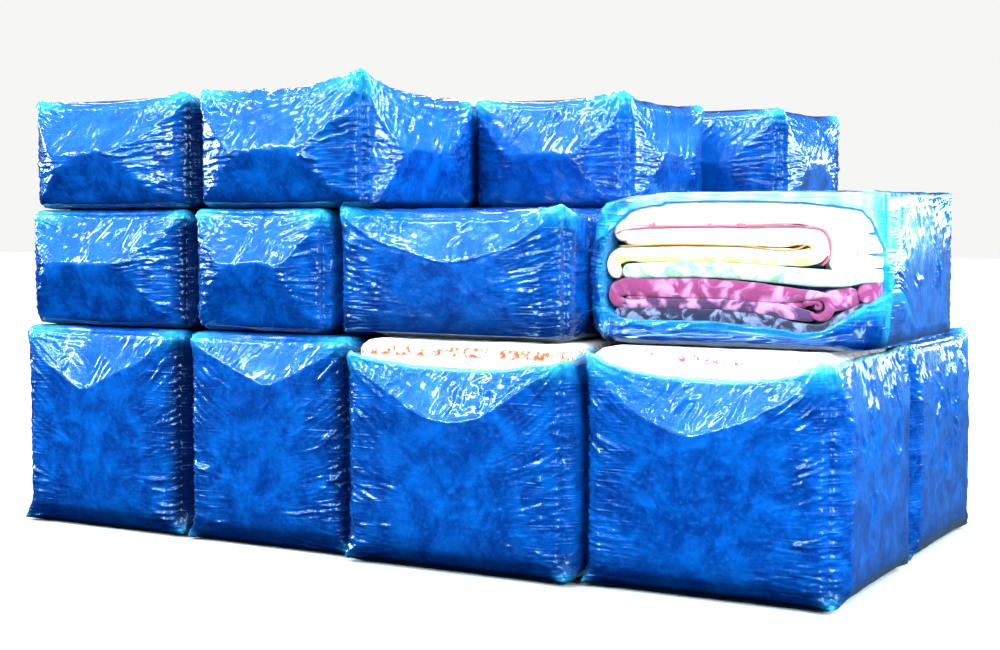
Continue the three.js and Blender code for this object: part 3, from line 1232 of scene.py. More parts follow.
        for height, distance, strength in (
            (crinkle, 0.006, 0.35),
            (streaks, 0.005, marks["fan"]),
            (tucks, 0.0022, tuck_strength.outputs[0]),
            (folds, 0.014, fold_strength.outputs[0]),
        ):
            bump = add_node(
                tree, "ShaderNodeBump", {},
                {"Height": height.outputs["Fac"], "Distance": distance, "Strength": strength,
                 **normal},
            )
            normal = {"Normal": bump.outputs[0]}
        return bump.outputs[0]


@dataclass(frozen=True)
class MinkFleece:
    """Warp-knitted polyester mink fleece with a brushed pile, matt and soft.

    The eye sees an even, powdery colour with a pale sheen at grazing angles and faint shading
    where the pile is stroked, and a loosely printed second colour. The pile's fibres are too
    fine to show, so it is drawn in tufts.
    """

    name: str
    ground: str
    print_colour: str
    print_mm: float = 140.0
    print_share: float = 0.3
    band: tuple[float, float] = (-1.0, 9.0)  # heights between which the print lies, metres
    reverse: str = ""  # colour of the other side of the cloth, where the mark reverse is 1
    tuft_mm: float = 2.5

    def make(self) -> bpy.types.Material:
        """Builds the node tree.

        Returns:
            The material.
        """
        material = bpy.data.materials.new(self.name)
        material.use_nodes = True
        tree = material.node_tree
        tree.nodes.clear()
        place = add_node(tree, "ShaderNodeTexCoord", {}, {}).outputs["Object"]
        print_field = add_node(
            tree, "ShaderNodeTexNoise", {},
            {"Vector": place, "Scale": 1000 / self.print_mm, "Detail": 3.0, "Distortion": 1.0},
        )
        printed = add_node(
            tree, "ShaderNodeMapRange", {"interpolation_type": "SMOOTHSTEP"},
            {"Value": print_field.outputs["Fac"], "From Min": 0.7 - self.print_share,
             "From Max": 0.88 - self.print_share},
        )
        height = add_node(tree, "ShaderNodeSeparateXYZ", {}, {0: place}).outputs["Z"]
        middle, half = sum(self.band) / 2, (self.band[1] - self.band[0]) / 2
        off = add_node(tree, "ShaderNodeMath", {"operation": "SUBTRACT"}, {0: height, 1: middle})
        off = add_node(tree, "ShaderNodeMath", {"operation": "ABSOLUTE"}, {0: off.outputs[0]})
        banded = add_node(
            tree, "ShaderNodeMapRange", {"interpolation_type": "SMOOTHSTEP"},
            {"Value": off.outputs[0], "From Min": half + 0.008, "From Max": half - 0.012},
        )
        shown = add_node(
            tree, "ShaderNodeMath", {"operation": "MULTIPLY"},
            {0: printed.outputs["Result"], 1: banded.outputs[0]},
        )
        back = add_node(
            tree, "ShaderNodeAttribute", {"attribute_name": "reverse"}, {}
        ).outputs["Fac"]
        cloth = add_node(
            tree, "ShaderNodeMix", {"data_type": "RGBA"},
            {"Factor": back, 6: linear(self.ground), 7: linear(self.reverse or self.ground)},
        )
        colour = add_node(
            tree, "ShaderNodeMix", {"data_type": "RGBA"},
            {"Factor": shown.outputs[0], 6: cloth.outputs[2],
             7: linear(self.print_colour)},
        )
        pile = add_node(
            tree, "ShaderNodeTexNoise", {},
            {"Vector": place, "Scale": 1000 / self.tuft_mm, "Detail": 2.0},
        )
        bump = add_node(
            tree, "ShaderNodeBump", {},
            {"Height": pile.outputs["Fac"], "Distance": 0.003, "Strength": 0.6},
        )
        shader = add_node(
            tree, "ShaderNodeBsdfPrincipled", {},
            {"Base Color": colour.outputs[2], "Roughness": 0.95, "Sheen Weight": 0.3,
             "Sheen Roughness": 0.4, "Normal": bump.outputs[0]},
        )
        add_node(tree, "ShaderNodeOutputMaterial", {}, {"Surface": shader.outputs[0]})
        return material


@dataclass(frozen=True)
class PaleFloor:
    """Power-floated pale concrete of the studio floor: plain, matt and nearly white."""

    name: str = "studio_floor_pale"
    colour: str = "#D6D5D3"

    def make(self) -> bpy.types.Material:
        """Builds the node tree.

        Returns:
            The material.
        """
        material = bpy.data.materials.new(self.name)
        material.use_nodes = True
        shader = material.node_tree.nodes["Principled BSDF"]
        shader.inputs["Base Color"].default_value = linear(self.colour)
        shader.inputs["Roughness"].default_value = 0.8
        return material


@dataclass(frozen=True)
class StripLight:
    """Area light: where it stands, where it looks, its length and height, and its radiance."""

    name: str
    place: tuple[float, float, float]
    size: tuple[float, float]
    radiance: float
    target: tuple[float, float, float] = (0.0, 0.0, 1.2)
    mirrored: bool = True  # whether the film shows it as a glint
    colour: str = "#CDF0FF"

    def hang(self) -> None:
        """Adds the light, its power worked out as radiance times pi times its area."""
        data = bpy.data.lights.new(self.name, "AREA")
        data.shape = "RECTANGLE"
        data.size, data.size_y = self.size
        data.color = linear(self.colour)[:3]
        data.energy = self.radiance * math.pi * self.size[0] * self.size[1]
        lamp = bpy.data.objects.new(self.name, data)
        bpy.context.scene.collection.objects.link(lamp)
        way = Vector(self.target) - Vector(self.place)
        lamp.rotation_euler = way.to_track_quat("-Z", "Y").to_euler()
        lamp.location = self.place
        lamp.visible_camera = False
        lamp.visible_glossy = self.mirrored


@dataclass(frozen=True)
class SkyLight:
    """Broad, soft light from one side of the sky, which the film doesn't mirror."""

    name: str
    strength: float
    turn: tuple[float, float, float]

    WIDTH = 60  # degrees across

    def hang(self) -> None:
        """Adds the light."""
        data = bpy.data.lights.new(self.name, "SUN")
        data.energy = self.strength
        data.angle = math.radians(self.WIDTH)
        lamp = bpy.data.objects.new(self.name, data)
        lamp.rotation_euler = [math.radians(angle) for angle in self.turn]
        lamp.visible_glossy = False
        bpy.context.scene.collection.objects.link(lamp)


@dataclass
class Studio:
    """Camera, floor, backdrop and lights. Only the camera's place comes from the photograph."""

    camera_place: tuple[float, float, float] = (4.19185, -7.89366, 1.5564)
    camera_turn: tuple[float, float, float] = (86.643, 0.0, 29.589)
    lens_mm: float = 58.57
    floor_size: float = 160.0

    def place_camera(self) -> None:
        """Makes the camera, and makes it the scene's."""
        data = bpy.data.cameras.new("camera")
        data.lens = self.lens_mm
        data.clip_end = 400
        camera = bpy.data.objects.new("camera", data)
        camera.location = self.camera_place
        camera.rotation_euler = [math.radians(angle) for angle in self.camera_turn]
        bpy.context.scene.collection.objects.link(camera)
        bpy.context.scene.camera = camera

    def build(self) -> None:
        """Lays the floor and hangs the lights."""
        half = self.floor_size / 2
        corners = np.array([[-half, -half, 0], [half, -half, 0], [half, half, 0], [-half, half, 0]])
        skin = Skin(corners, [[0, 1, 2, 3]], {}, corners)
        floor = skin.to_piece("studio_floor", PaleFloor().make())
        floor.visible_glossy = False
        floor.visible_diffuse = False
        for light in (
            StripLight("high_front_left", (-4.2, -7.2, 8.6), (9.0, 0.5), 60),
            StripLight("low_front_left", (-5.5, -8.5, 4.2), (5.0, 0.36), 50),
            StripLight("side_left", (-10.0, -2.9, 4.2), (1.6, 5.0), 26),
            StripLight("tall_front", (-4.2, -10.5, 5.0), (0.5, 4.2), 45),
            StripLight("over_camera", (3.4, -9.5, 5.4), (5.0, 0.3), 45),
            StripLight("high_back_right", (7.0, 6.5, 7.5), (8.0, 0.6), 45),
            StripLight("side_right", (9.0, 5.5, 4.0), (1.8, 4.5), 22),
            StripLight("high_back_left", (-7.0, 7.0, 8.0), (8.0, 0.6), 42),
            StripLight("overhead", (0.0, 0.0, 9.5), (8.0, 0.8), 40),
            StripLight(
                "broad_right", (5.0, 6.5, 1.3), (5.0, 2.6), 0.3, (2.3, -1.0, 0.8), colour="#6CBCFF"
            ),
            StripLight("band_right", (5.0, 6.5, 2.5), (5.0, 1.1), 11, (2.3, -1.0, 0.9)),
            StripLight("fill_right", (5.2, -3.4, 1.9), (2.0, 2.0), 18, (2.3, -1.1, 0.7), False),
            StripLight("front_right", (9.0, -7.0, 5.5), (2.0, 6.0), 12),
            SkyLight("sky_front", 2.3, (48, 0, -25)),
            SkyLight("sky_right", 3.6, (0, 66, 8)),
            SkyLight("sky_top", 1.2, (10, 0, 0)),
            SkyLight("sky_back", 1.2, (50, 0, 150)),
        ):
            light.hang()
        self.light_world()
        bpy.context.scene.view_settings.view_transform = "Standard"

    def light_world(self) -> None:
        """Makes the surroundings: a plain pale backdrop to look at, a soft even fill, and for
        reflections a dim room that is darker low down, but for a glow behind the stack."""
        world = bpy.data.worlds.new("studio")
        world.use_nodes = True
        tree = world.node_tree
        tree.nodes.clear()
        way = add_node(tree, "ShaderNodeTexCoord", {}, {}).outputs["Generated"]
        height = add_node(tree, "ShaderNodeSeparateXYZ", {}, {0: way}).outputs["Z"]
        dim = add_node(
            tree, "ShaderNodeMapRange", {"interpolation_type": "SMOOTHSTEP"},
            {"Value": height, "From Min": 0.1, "From Max": 0.85, "To Min": 0.006, "To Max": 0.8},
        )
        soft = add_node(
            tree, "ShaderNodeMapRange", {},
            {"Value": height, "From Min": -0.6, "From Max": 0.5, "To Min": 0.06, "To Max": 0.42},
        )
        bright_side = add_node(
            tree, "ShaderNodeVectorMath", {"operation": "DOT_PRODUCT"}, {0: way, 1: (0.3, 0.95, 0)}
        )
        glow = add_node(
            tree, "ShaderNodeMapRange", {"interpolation_type": "SMOOTHSTEP"},
            {"Value": bright_side.outputs["Value"], "From Min": 0.6, "From Max": 0.95,
             "To Max": 0.2},
        )
        below = add_node(
            tree, "ShaderNodeMapRange", {"interpolation_type": "SMOOTHSTEP"},
            {"Value": height, "From Min": 0.12, "From Max": -0.02},
        )
        mirrored_strength = add_node(
            tree, "ShaderNodeMath", {"operation": "MULTIPLY_ADD"},
            {0: glow.outputs["Result"], 1: below.outputs["Result"], 2: dim.outputs["Result"]},
        )
        ray = add_node(tree, "ShaderNodeLightPath", {}, {})
        mirrored = add_node(
            tree, "ShaderNodeBackground", {},
            {"Color": linear("#A6DAFF"), "Strength": mirrored_strength.outputs[0]},
        )
        fill = add_node(
            tree, "ShaderNodeBackground", {},
            {"Color": linear("#F2F6FF"), "Strength": soft.outputs["Result"]},
        )
        backdrop = add_node(
            tree, "ShaderNodeBackground", {}, {"Color": linear("#F6F6F5"), "Strength": 1.0}
        )
        lit = add_node(
            tree, "ShaderNodeMixShader", {},
            {0: ray.outputs["Is Glossy Ray"], 1: fill.outputs[0], 2: mirrored.outputs[0]},
        )
        seen = add_node(
            tree, "ShaderNodeMixShader", {},
            {0: ray.outputs["Is Camera Ray"], 1: lit.outputs[0], 2: backdrop.outputs[0]},
        )
        add_node(tree, "ShaderNodeOutputWorld", {}, {"Surface": seen.outputs[0]})
        world.cycles.sampling_method = "NONE"
        bpy.context.scene.world = world


SMILE = Facets(
    left=0.08, right=0.08, low=0.09, sag=0.3, fall=0.038, upper_fall=0.09, sharpness=18, bow=1.2
)
WIDE_SMILE = Facets(
    left=0.06, right=0.09, low=0.002, sag=0.4, fall=0.035, upper_fall=0.08, sharpness=18
)
ENVELOPE = Facets(
    left=0.18, right=0.47, low=0.47, high=0.52, fall=0.095, sharpness=15, bulge=0.75, arch=0.6
)
EVEN_ENVELOPE = Facets(
    left=0.26, right=0.3, low=0.47, high=0.52, fall=0.09, sharpness=15, bulge=0.75, arch=0.55
)
SIDE_ENVELOPE = replace(EVEN_ENVELOPE, fall=0.06, sharpness=12)
FULL_ENVELOPE = replace(EVEN_ENVELOPE, fall=0.02)
DRAPE = Facets(left=0.1, right=0.12, low=0.08, high=0.2, fall=0.055, sharpness=10)

FRONT_FACETS = {
    "bottom_front_3": replace(SMILE, sag_at=0.46),
    "bottom_front_4": replace(SMILE, sag_at=0.46),
    "bottom_front_1": replace(SMILE, sag_at=0.4, sag=0.32),
    "bottom_front_2": replace(SMILE, sag_at=0.52, sag=0.26),
    "top_front_1": ENVELOPE,
    "top_front_2": EVEN_ENVELOPE,
    "middle_front_1": replace(ENVELOPE, left=0.13, right=0.42, low=0.54, high=0.45, arch=0.35),
    "middle_front_2": replace(EVEN_ENVELOPE, low=0.54, high=0.45, arch=0.35),
    "middle_front_3": WIDE_SMILE,
    "top_centre_3": replace(EVEN_ENVELOPE, fall=0.055),
    "top_rear_3": replace(EVEN_ENVELOPE, fall=0.055),
}
TALL_SHADED_FEET = {"middle_front_3"}  # bales above the floor whose foot gets the tall painted shade all the same
PEAKS = {"top_front_2": Ear((1, -1, 1), (0.0, 0.0, 0.06), (0.42, 0.4, 0.2), loose=0.1)}
FINE_SIDES = {  # faces that the main view shows, where it isn't the front alone
    "bottom_front_3": {Side.FRONT, Side.TOP},
    "bottom_front_4": {Side.FRONT, Side.RIGHT, Side.TOP},
    "bottom_centre_4": {Side.FRONT, Side.RIGHT},
    "middle_front_3": {Side.FRONT, Side.RIGHT},
    "middle_front_4": {Side.FRONT, Side.RIGHT},
    "top_front_2": {Side.FRONT, Side.RIGHT},
    "top_centre_3": {Side.FRONT, Side.RIGHT},
    "top_rear_3": {Side.FRONT, Side.RIGHT},
}


@dataclass
class Bale(ABC):
    """What every bale is: pressed, folded blankets in a bag of blue film."""

    node: str
    low: Array
    high: Array
    hidden: set[Side]
    seed: int
    pieces: list[bpy.types.Object] = field(default_factory=list)

    FOOT = 0.035  # height of the painted shade where a bale stands on another, metres
    LOW_FOOT = 0.14  # and of the painted shade at the foot of a bale on the floor

    @abstractmethod
    def build(self, finishes: dict[str, bpy.types.Material]) -> None:
        """Makes the bale's pieces and gives each its finish."""

    def face_form(self, side: Side) -> FaceForm:
        """Chooses the slopes and wrinkles of one face.

        Args:
            side: the face.

        Returns:
            Its form.
        """
        low_tier = self.node.startswith("bottom")
        if side is Side.UNDER:
            return FaceForm(facets=PRESSED_TOP, hidden=True)
        if side in self.hidden:
            facets = PRESSED_TOP if side is Side.TOP else PRESSED_FACE
            return FaceForm(facets=facets, hidden=True, fans=0.004)
        if side is Side.TOP:
            return FaceForm(facets=CROWN, fans=0.006, pleats=0.004)
        facets = SMILE if low_tier else (FULL_ENVELOPE if side is Side.LEFT else SIDE_ENVELOPE)
        if low_tier and side is Side.RIGHT:
            return FaceForm(
                facets=DRAPE, proud=0.02, fans=0.006, pleats=0.012, lean=-0.15, reach=0.14,
                gathers=0.3,
            )
        if side is Side.FRONT:
            facets = FRONT_FACETS.get(self.node, facets)
        focus = 0.15 if facets.sag else 0.45
        return FaceForm(
            facets=facets, proud=0.03, fans=0.009, pleats=0.007, ridge=0.005, focus=focus
        )

    def ears(self) -> list[Ear]:
        """The corners' loose film: fins at the top, and small tufts on the floor.

        Returns:
            The ears.
        """
        lift = 0.015 if Side.TOP in self.hidden else 0.07
        random = np.random.default_rng(self.seed)
        found = [PEAKS[self.node]] if self.node in PEAKS else []
        for x in (-1, 1):
            for y in (-1, 1):
                share, width = random.uniform(0.3, 1.1), random.uniform(0.8, 1.5)
                pull = (0.012 * x, 0.02 * y, lift * share)
                found.append(Ear((x, y, 1), pull, (0.15 * width, 0.09 * width, 0.06)))
                if self.low[2] < TOUCHING:
                    found.append(Ear((x, y, -1), (0.035 * x, 0.035 * y, 0), (0.06, 0.06, 0.05)))
        return found

    def form(self) -> FilmForm:
        """The bag's film, before anything of its own is done to it.

        Returns:
            The film's form.
        """
        fine = FINE_SIDES.get(self.node, {Side.FRONT} if "front" in self.node else set())
        faces = {side: self.face_form(side) for side in Side}
        near = 0.11 if Side.RIGHT in self.hidden else 0.07
        rounding = Rounding(0.06, near, 0.06, 0.06, 0.045, 0.02)
        # whether the foot gets the tall painted shade
        shaded = self.node.startswith("bottom") or self.node in TALL_SHADED_FEET
        return FilmForm(
            self.low, self.high, faces, self.seed, fine=fine, rounding=rounding, ears=self.ears(),
            foot=self.LOW_FOOT if shaded else self.FOOT,
        )

    def add(
        self, skin: Skin, name: str, finish: bpy.types.Material, slot: str, fill: float,
        replaced: list[str],
    ) -> None:
        """Makes a piece of a skin and joins it to the frame.

        Args:
            skin: the worked out surface.
            name: the piece's name.
            finish: its material.
            slot: name of the record's material slot, not used.
            fill: how tightly it is stuffed, 0 to 1, not used.
            replaced: CAD nodes that it stands for.
        """
        skin.points[:, 2] = np.maximum(skin.points[:, 2], FLOOR_GAP)
        piece = skin.to_piece(name, finish)
        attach(piece, "root")
        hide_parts(*replaced)
        self.pieces.append(piece)


@dataclass
class ClosedBale(Bale):
    """One closed bale, sewn up all round."""

    def build(self, finishes: dict[str, bpy.types.Material]) -> None:
        """Makes the bale's film skin."""
        skin = self.form().build()
        self.add(skin, f"{self.node}_film", finishes["film"], "film", 0.9, [self.node])


@dataclass
class OpenTopBale(Bale):
    """A bottom bale whose bag is open at the top, with a folded blanket crowning through."""

    rim: float = 0.985
    rim_margin: float = 0.008
    rim_sag: float = 0.045
    rim_lift: float = 0.02

    CLOSED_FROM = {"bottom_front_4": 2.1}  # X from which the mouth is closed
    PRESSED_AT = 1.047  # height at which the bale above presses on the film
    FREE_DEPTH = 0.19  # depth of the strip that stands in front of the bale above
    RIM_HEIGHT = 0.3  # height under the rim over which its sag fades out
    LEAN = 0.06  # how far the middle of the blanket's front leans back
    DROP = 0.03  # how far the blanket's end lies lower where the mouth is closed

    def build(self, finishes: dict[str, bpy.types.Material]) -> None:
        """Makes the bag and the blanket in its mouth."""
        self.build_bag(finishes["film"])
        self.build_blanket(finishes[f"{self.node}_fleece"])

    def build_bag(self, film: bpy.types.Material) -> None:
        """Makes the bag. Its front rim hangs lower towards the middle: it is moved by the lift
        less the sag times (1 - |2s - 1|^2)^1.5, fading out below, and its right rim stands up
        to the bale above. Beyond the mouth the film covers the blanket's end.

        Args:
            film: its finish.
        """
        form = self.form()
        form.high = np.array([self.high[0], self.high[1], self.rim])
        form.rounding = Rounding(0.06, 0.06, 0.06, 0.06, upper=0.006, lower=0.04)
        margin = self.rim_margin
        closed = self.CLOSED_FROM.get(self.node, form.high[0] - margin)
        form.mouth = Mouth(
            Side.TOP, (form.low[0] + margin, closed),
            (form.low[1] + margin, form.high[1] - margin), deep=0.09,
        )
        skin = form.build()
        x, y, z = skin.box.T
        s, t = (((skin.box - form.low) / (form.high - form.low))[:, a] for a in (0, 1))
        noise = Noise(self.seed + 50)
        front = (1 - (2 * s - 1) ** 2) ** 1.5 * (1 - smooth(t, 0.05, 0.3))
        upper = smooth(z, self.rim - self.RIM_HEIGHT, self.rim)
        lift = self.rim_lift + 0.008 * noise.at(s * 9, t * 9)
        lift = lift + 0.05 * smooth(s, 0.93, 1) * smooth(t, 0, 0.25)
        skin.points[:, 2] += upper * (lift - self.rim_sag * front)
        over = (z >= form.high[2]) & (x > closed)
        arch = smooth(x, closed, closed + 0.03) * (1 - smooth(x, self.high[0] - 0.09, self.high[0]))
        skin.points[:, 2] += over * arch * (0.03 + 0.008 * noise.at(x / 0.03, y / 0.1, 4))
        pressed = y > form.low[1] + self.FREE_DEPTH
        skin.points[pressed, 2] = np.minimum(skin.points[pressed, 2], self.PRESSED_AT)
        edge = smooth(z, self.rim - 0.025, self.rim)
        skin.marks["loose"] = np.maximum(skin.marks["loose"], 0.8 * edge)
        skin.marks["clear"] = np.where(over, 0.5, 0.25 * smooth(z, self.rim - 0.02, self.rim))
        nodes = [f"{self.node}_bag", f"{self.node}_core"]
        self.add(skin, f"{self.node}_film", film, "film", 0.85, nodes)

    def build_blanket(self, fleece: bpy.types.Material) -> None:
        """Makes the folded blanket: a crowned soft box whose front leans in with the rim, by the
        lean times 1 - |2s - 1|^1.7, less with the way back.

        Args:
            fleece: its finish.
        """
        low, high = (np.array(corner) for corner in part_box(f"{self.node}_blanket"))
        soft = FaceForm(facets=Facets(0.1, 0.1, 0.3, 0.3, fall=0.012, sharpness=5))
        top = FaceForm(facets=PRESSED_TOP, hidden=True)
        faces = {side: top if side.axis == 2 else soft for side in Side}
        form = FilmForm(
            low, high, faces, self.seed + 70, fine={Side.FRONT},
            rounding=Rounding(0.07, 0.07, 0.07, 0.07, 0.05, 0.03), puckers=0.0, lumps=0.006,
        )
        skin = form.build()
        s = (skin.box[:, 0] - low[0]) / (high[0] - low[0])
        near = smooth(skin.box[:, 1], low[1] + 0.5, low[1])
        skin.points[:, 1] += self.LEAN * near * (1 - np.abs(2 * s - 1) ** 1.7)
        closed = self.CLOSED_FROM.get(self.node, high[0])
        skin.points[:, 2] -= self.DROP * smooth(skin.box[:, 0], closed - 0.04, closed + 0.03)
        nodes = [f"{self.node}_blanket"]
        self.add(skin, f"{self.node}_fleece", fleece, "white_fleece", 0.8, nodes)


@dataclass
class OpenFrontBale(Bale):
    """The middle bale whose bag is open at the front, with five folded blankets in it."""

    front_reach: float = 0.012  # how far the film stands in front of the blankets
    side_reach: float = 0.03  # and beyond them at the right
    mouth_left: float = 1.03
    mouth_right_y: float = -1.27
    mouth_up: tuple[float, float] = (1.14, 1.69)
    rim_lift: float = 0.022
    fold_back: float = -0.25  # Y to which the blankets run back
    lip: float = 0.025  # how far the film under the mouth stands forward
    rim_crease: float = 0.009  # height of the creases along the mouth's edge

    FADE = 0.3  # way back over which what is done at the front fades out
    SIDE_FADE_FROM = 0.25  # and how far behind the front that starts on the right face
    CLIMB_ABOVE, DIP_BELOW = 0.3, 0.36  # heights over which the mouth's edge takes film along
    RIM_PITCH = (0.03, 0.22)  # metres between the creases along the edge, and their length
    RIM_BAND = 0.09  # distance from the edge over which they fade
    CLEAR_WAY = ((1.1, 1.3), (2.25, 2.45))  # where along the front the clear layer comes and goes
    CLEAR_DEPTH = (0.12, 0.4)  # and how far behind it the layer goes
    DRAPE_WAY = ((2.3, 2.5), (2.8, 3.3))  # where the slack film on the right, whitened in patches partly as a painted highlight, comes and goes
    DRAPE_HEIGHT = (1.3, 1.62)  # and the heights between which it comes

    # Way along the front and on round the square corner, and how far the edge climbs or dips.
    LOWER_EDGE = (
        (1.035, 0.05), (1.11, 0.01), (1.22, 0.005), (1.55, 0.008), (1.86, -0.018), (1.94, -0.032),
        (2.04, -0.02), (2.09, 0.004), (2.17, 0.05), (2.22, 0.07), (2.38, 0.11), (2.46, 0.15),
    )
    UPPER_EDGE = (
        (1.035, 0.11), (1.1, 0.06), (1.15, 0.035), (1.21, 0.017), (1.35, 0.004), (1.58, 0.0),
        (1.94, 0.008), (2.21, 0.03), (2.25, 0.034), (2.33, 0.072), (2.38, 0.125), (2.4, 0.16),
        (2.45, 0.21),
    )

    def build(self, finishes: dict[str, bpy.types.Material]) -> None:
        """Makes the bag and the blankets in it.

        Args:
            finishes: the materials by name.
        """
        self.build_bag(finishes["film"])
        outline = FrontOutline(
            self.low[1] + self.front_reach, self.high[0] - self.side_reach, self.fold_back
        )
        sheets = (self.white(), self.cream(), self.mint(), self.magenta(), self.grey())
        for number, (colour, folds) in enumerate(zip(BLANKETS, sheets)):
            skins = [
                fold.build(outline, self.seed * 20 + number * 5 + i) for i, fold in enumerate(folds)
            ]
            name, slot = f"{colour}_blanket_fleece", f"{colour}_fleece"
            self.add(joined(skins), name, finishes[slot], slot, 0.7, [f"{colour}_blanket"])

    def face_form(self, side: Side) -> FaceForm:
        """Chooses the slopes of one face: at the mouth the film stands on the blankets, flat.

        Args:
            side: the face.

        Returns:
            Its form.
        """
        if side is Side.FRONT:
            return FaceForm(facets=Facets(fall=0.004, sharpness=6), fans=0.004)
        if side is Side.RIGHT:
            flat = Facets(left=0.001, right=0.12, low=0.1, high=0.5, fall=0.02, sharpness=9)
            return FaceForm(
                facets=flat, fans=0.005, pleats=0.01, lean=-0.25, reach=0.14, gathers=0.1
            )
        if side is Side.TOP:
            return FaceForm(facets=Facets(fall=0.008, sharpness=6), fans=0.006, pleats=0.004)
        return super().face_form(side)

    def ears(self) -> list[Ear]:
        """The corners: the bag is drawn in round the two left ones, and slack at the back.

        Returns:
            The ears.
        """
        return [
            Ear((-1, -1, 1), (0.04, 0.0, -0.075), (0.15, 0.6, 0.14), loose=0.1),
            Ear((-1, -1, -1), (0.05, 0.0, 0.03), (0.12, 0.4, 0.1), loose=0.1),
            Ear((1, -1, 1), (-0.01, 0.0, -0.012), (0.2, 0.2, 0.12), loose=0.3),
            Ear((1, 1, 1), (0.005, 0.0, 0.012), (0.12, 0.25, 0.1)),
        ]

    def build_bag(self, film: bpy.types.Material) -> None:
        """Makes the bag, and bends the mouth's edge: it dips at its upper corners and climbs
        round the front right corner, by LOWER_EDGE and UPPER_EDGE at each way along, less with
        the height off the edge and the way back. Crests of noise run along it and fade by exp
        of minus the squared share of their band. A clear layer lies over the top, and slack
        film drapes over the upper part of the right face, whitened in patches that are partly
        doubled film and partly a painted highlight.

        Args:
            film: its finish.
        """
        form = self.form()
        form.high = form.high + (0, 0, self.rim_lift)
        form.rounding = Rounding(0.12, 0.2, 0.06, 0.06, upper=0.012, lower=0.03)
        right = self.high[0] + self.mouth_right_y - self.low[1]
        form.mouth = Mouth(Side.FRONT, (self.mouth_left, right), self.mouth_up, deep=0.13)
        skin = form.build()
        x, y, z = skin.box.T
        on_side = x >= self.high[0]
        way = np.where(on_side, self.high[0] + y - self.low[1], x)
        behind = y - self.low[1] - np.where(on_side, self.SIDE_FADE_FROM, 0)
        near = 1 - smooth(behind, 0, self.FADE)
        low, high = self.mouth_up
        climb = np.interp(way, *np.transpose(self.LOWER_EDGE))
        dip = np.interp(way, *np.transpose(self.UPPER_EDGE))
        lower = smooth(z, self.low[2], low) * (1 - smooth(z, low, low + self.CLIMB_ABOVE))
        upper = smooth(z, high - self.DIP_BELOW, high)
        upper = upper * (1 - smooth(z, high, self.high[2] + self.rim_lift))
        skin.points[:, 2] += near * (climb * lower - dip * upper)
        under = 1 - smooth(z, self.low[2], low - 0.02)
        skin.points[:, 1] -= self.lip * near * under * ~on_side
        rim = np.minimum.reduce(
            [np.abs(z - low), np.abs(z - high), np.abs(way - right), np.abs(way - self.mouth_left)]
        )
        noise = Noise(self.seed + 40)
        out = (z < low) | (z > high) | (way > right) | (way < self.mouth_left)
        along = np.where((z > low) & (z < high), z, way)
        pitch, length = self.RIM_PITCH
        crease = noise.creases(rim / pitch, along / length)
        crease = crease * np.exp(-((rim / self.RIM_BAND) ** 2)) * near * out
        skin.points[:, 1] -= self.rim_crease * crease * ~on_side
        skin.points[:, 0] += self.rim_crease * crease * on_side
        wide = 0.04 + 0.035 * noise.at(along / 0.12, 0.5)
        edge = near * (1 - smooth(rim, 0.004, wide))
        slack = np.where(z > high, 0.9, np.where(way > 2.2, 0.75, 0.4))
        skin.marks["loose"] = np.maximum(0.5 * skin.marks["loose"], slack * edge)
        patch = smooth(noise.at(way / 0.06, z / 0.16, 8), -0.45, 0.6)
        come, go = self.CLEAR_WAY
        above = (z >= high) * smooth(way, *come) * (1 - smooth(way, *go))
        above = above * (1 - smooth(y - self.low[1], *self.CLEAR_DEPTH))
        # Slack film on the right face: its whitened patches are partly doubled film and partly a
        # painted highlight.
        come, go = self.DRAPE_WAY
        drape_highlight = smooth(way, *come) * smooth(z, *self.DRAPE_HEIGHT) * (1 - smooth(way, *go))
        skin.marks["clear"] = np.maximum(above * (0.6 + 0.4 * patch), 0.4 * drape_highlight * patch)
        skin.marks["loose"] = np.maximum(skin.marks["loose"], 0.5 * drape_highlight * (0.4 + 0.6 * patch))
        skin.marks["fan"] = np.maximum(skin.marks["fan"], near * np.exp(-((rim / 0.12) ** 2)))
        self.add(skin, f"{self.node}_film", film, "film", 0.85, [f"{self.node}_bag"])

    def white(self) -> list[FleeceSheet]:
        """White blanket: over the top, turned in at the left and down round the right, with the
        ends of three more layers beyond it.

        Returns:
            Its fold lines.
        """
        left = arc((1.163, 1.58), (0.05, 0.046), (270, 90), (0.034, 0.055))
        wrap = arc((1.99, 1.487), (0.143, 0.128), (90, -50), (0.058, 0.056), count=7)
        folds = [FleeceSheet([*left, (1.3, 1.628, 0.056), (1.65, 1.632, 0.057), *wrap])]
        for height, half in ((1.602, 0.056), (1.494, 0.038), (1.422, 0.026)):
            knots = [(2.06, height, half + 0.016), (2.17, height, half + 0.014)]
            knots += [(2.23, height, half), (2.42, height, half)]
            folds.append(FleeceSheet(knots, set_back=0.002))
        seam = [(1.096, 1.538), (1.13, 1.553), (1.183, 1.56), (1.363, 1.569), (1.675, 1.571)]
        seam += [(1.977, 1.567), (2.042, 1.552), (2.07, 1.496), (2.066, 1.44), (2.04, 1.408)]
        behind = FleeceSheet([(1.15, 1.568, 0.012), (1.9, 1.568, 0.012)], set_back=0.02)
        return [*folds, behind, self.piping(seam)]

    def piping(self, line: list[tuple[float, float]]) -> FleeceSheet:
        """Thin sewn edging along a line, in the colour of the cloth's other side."""
        knots = [(*place, 0.0028) for place in line]
        return FleeceSheet(knots, set_back=-0.004, nose=0.004, step=0.012, reverse_from=-0.1)

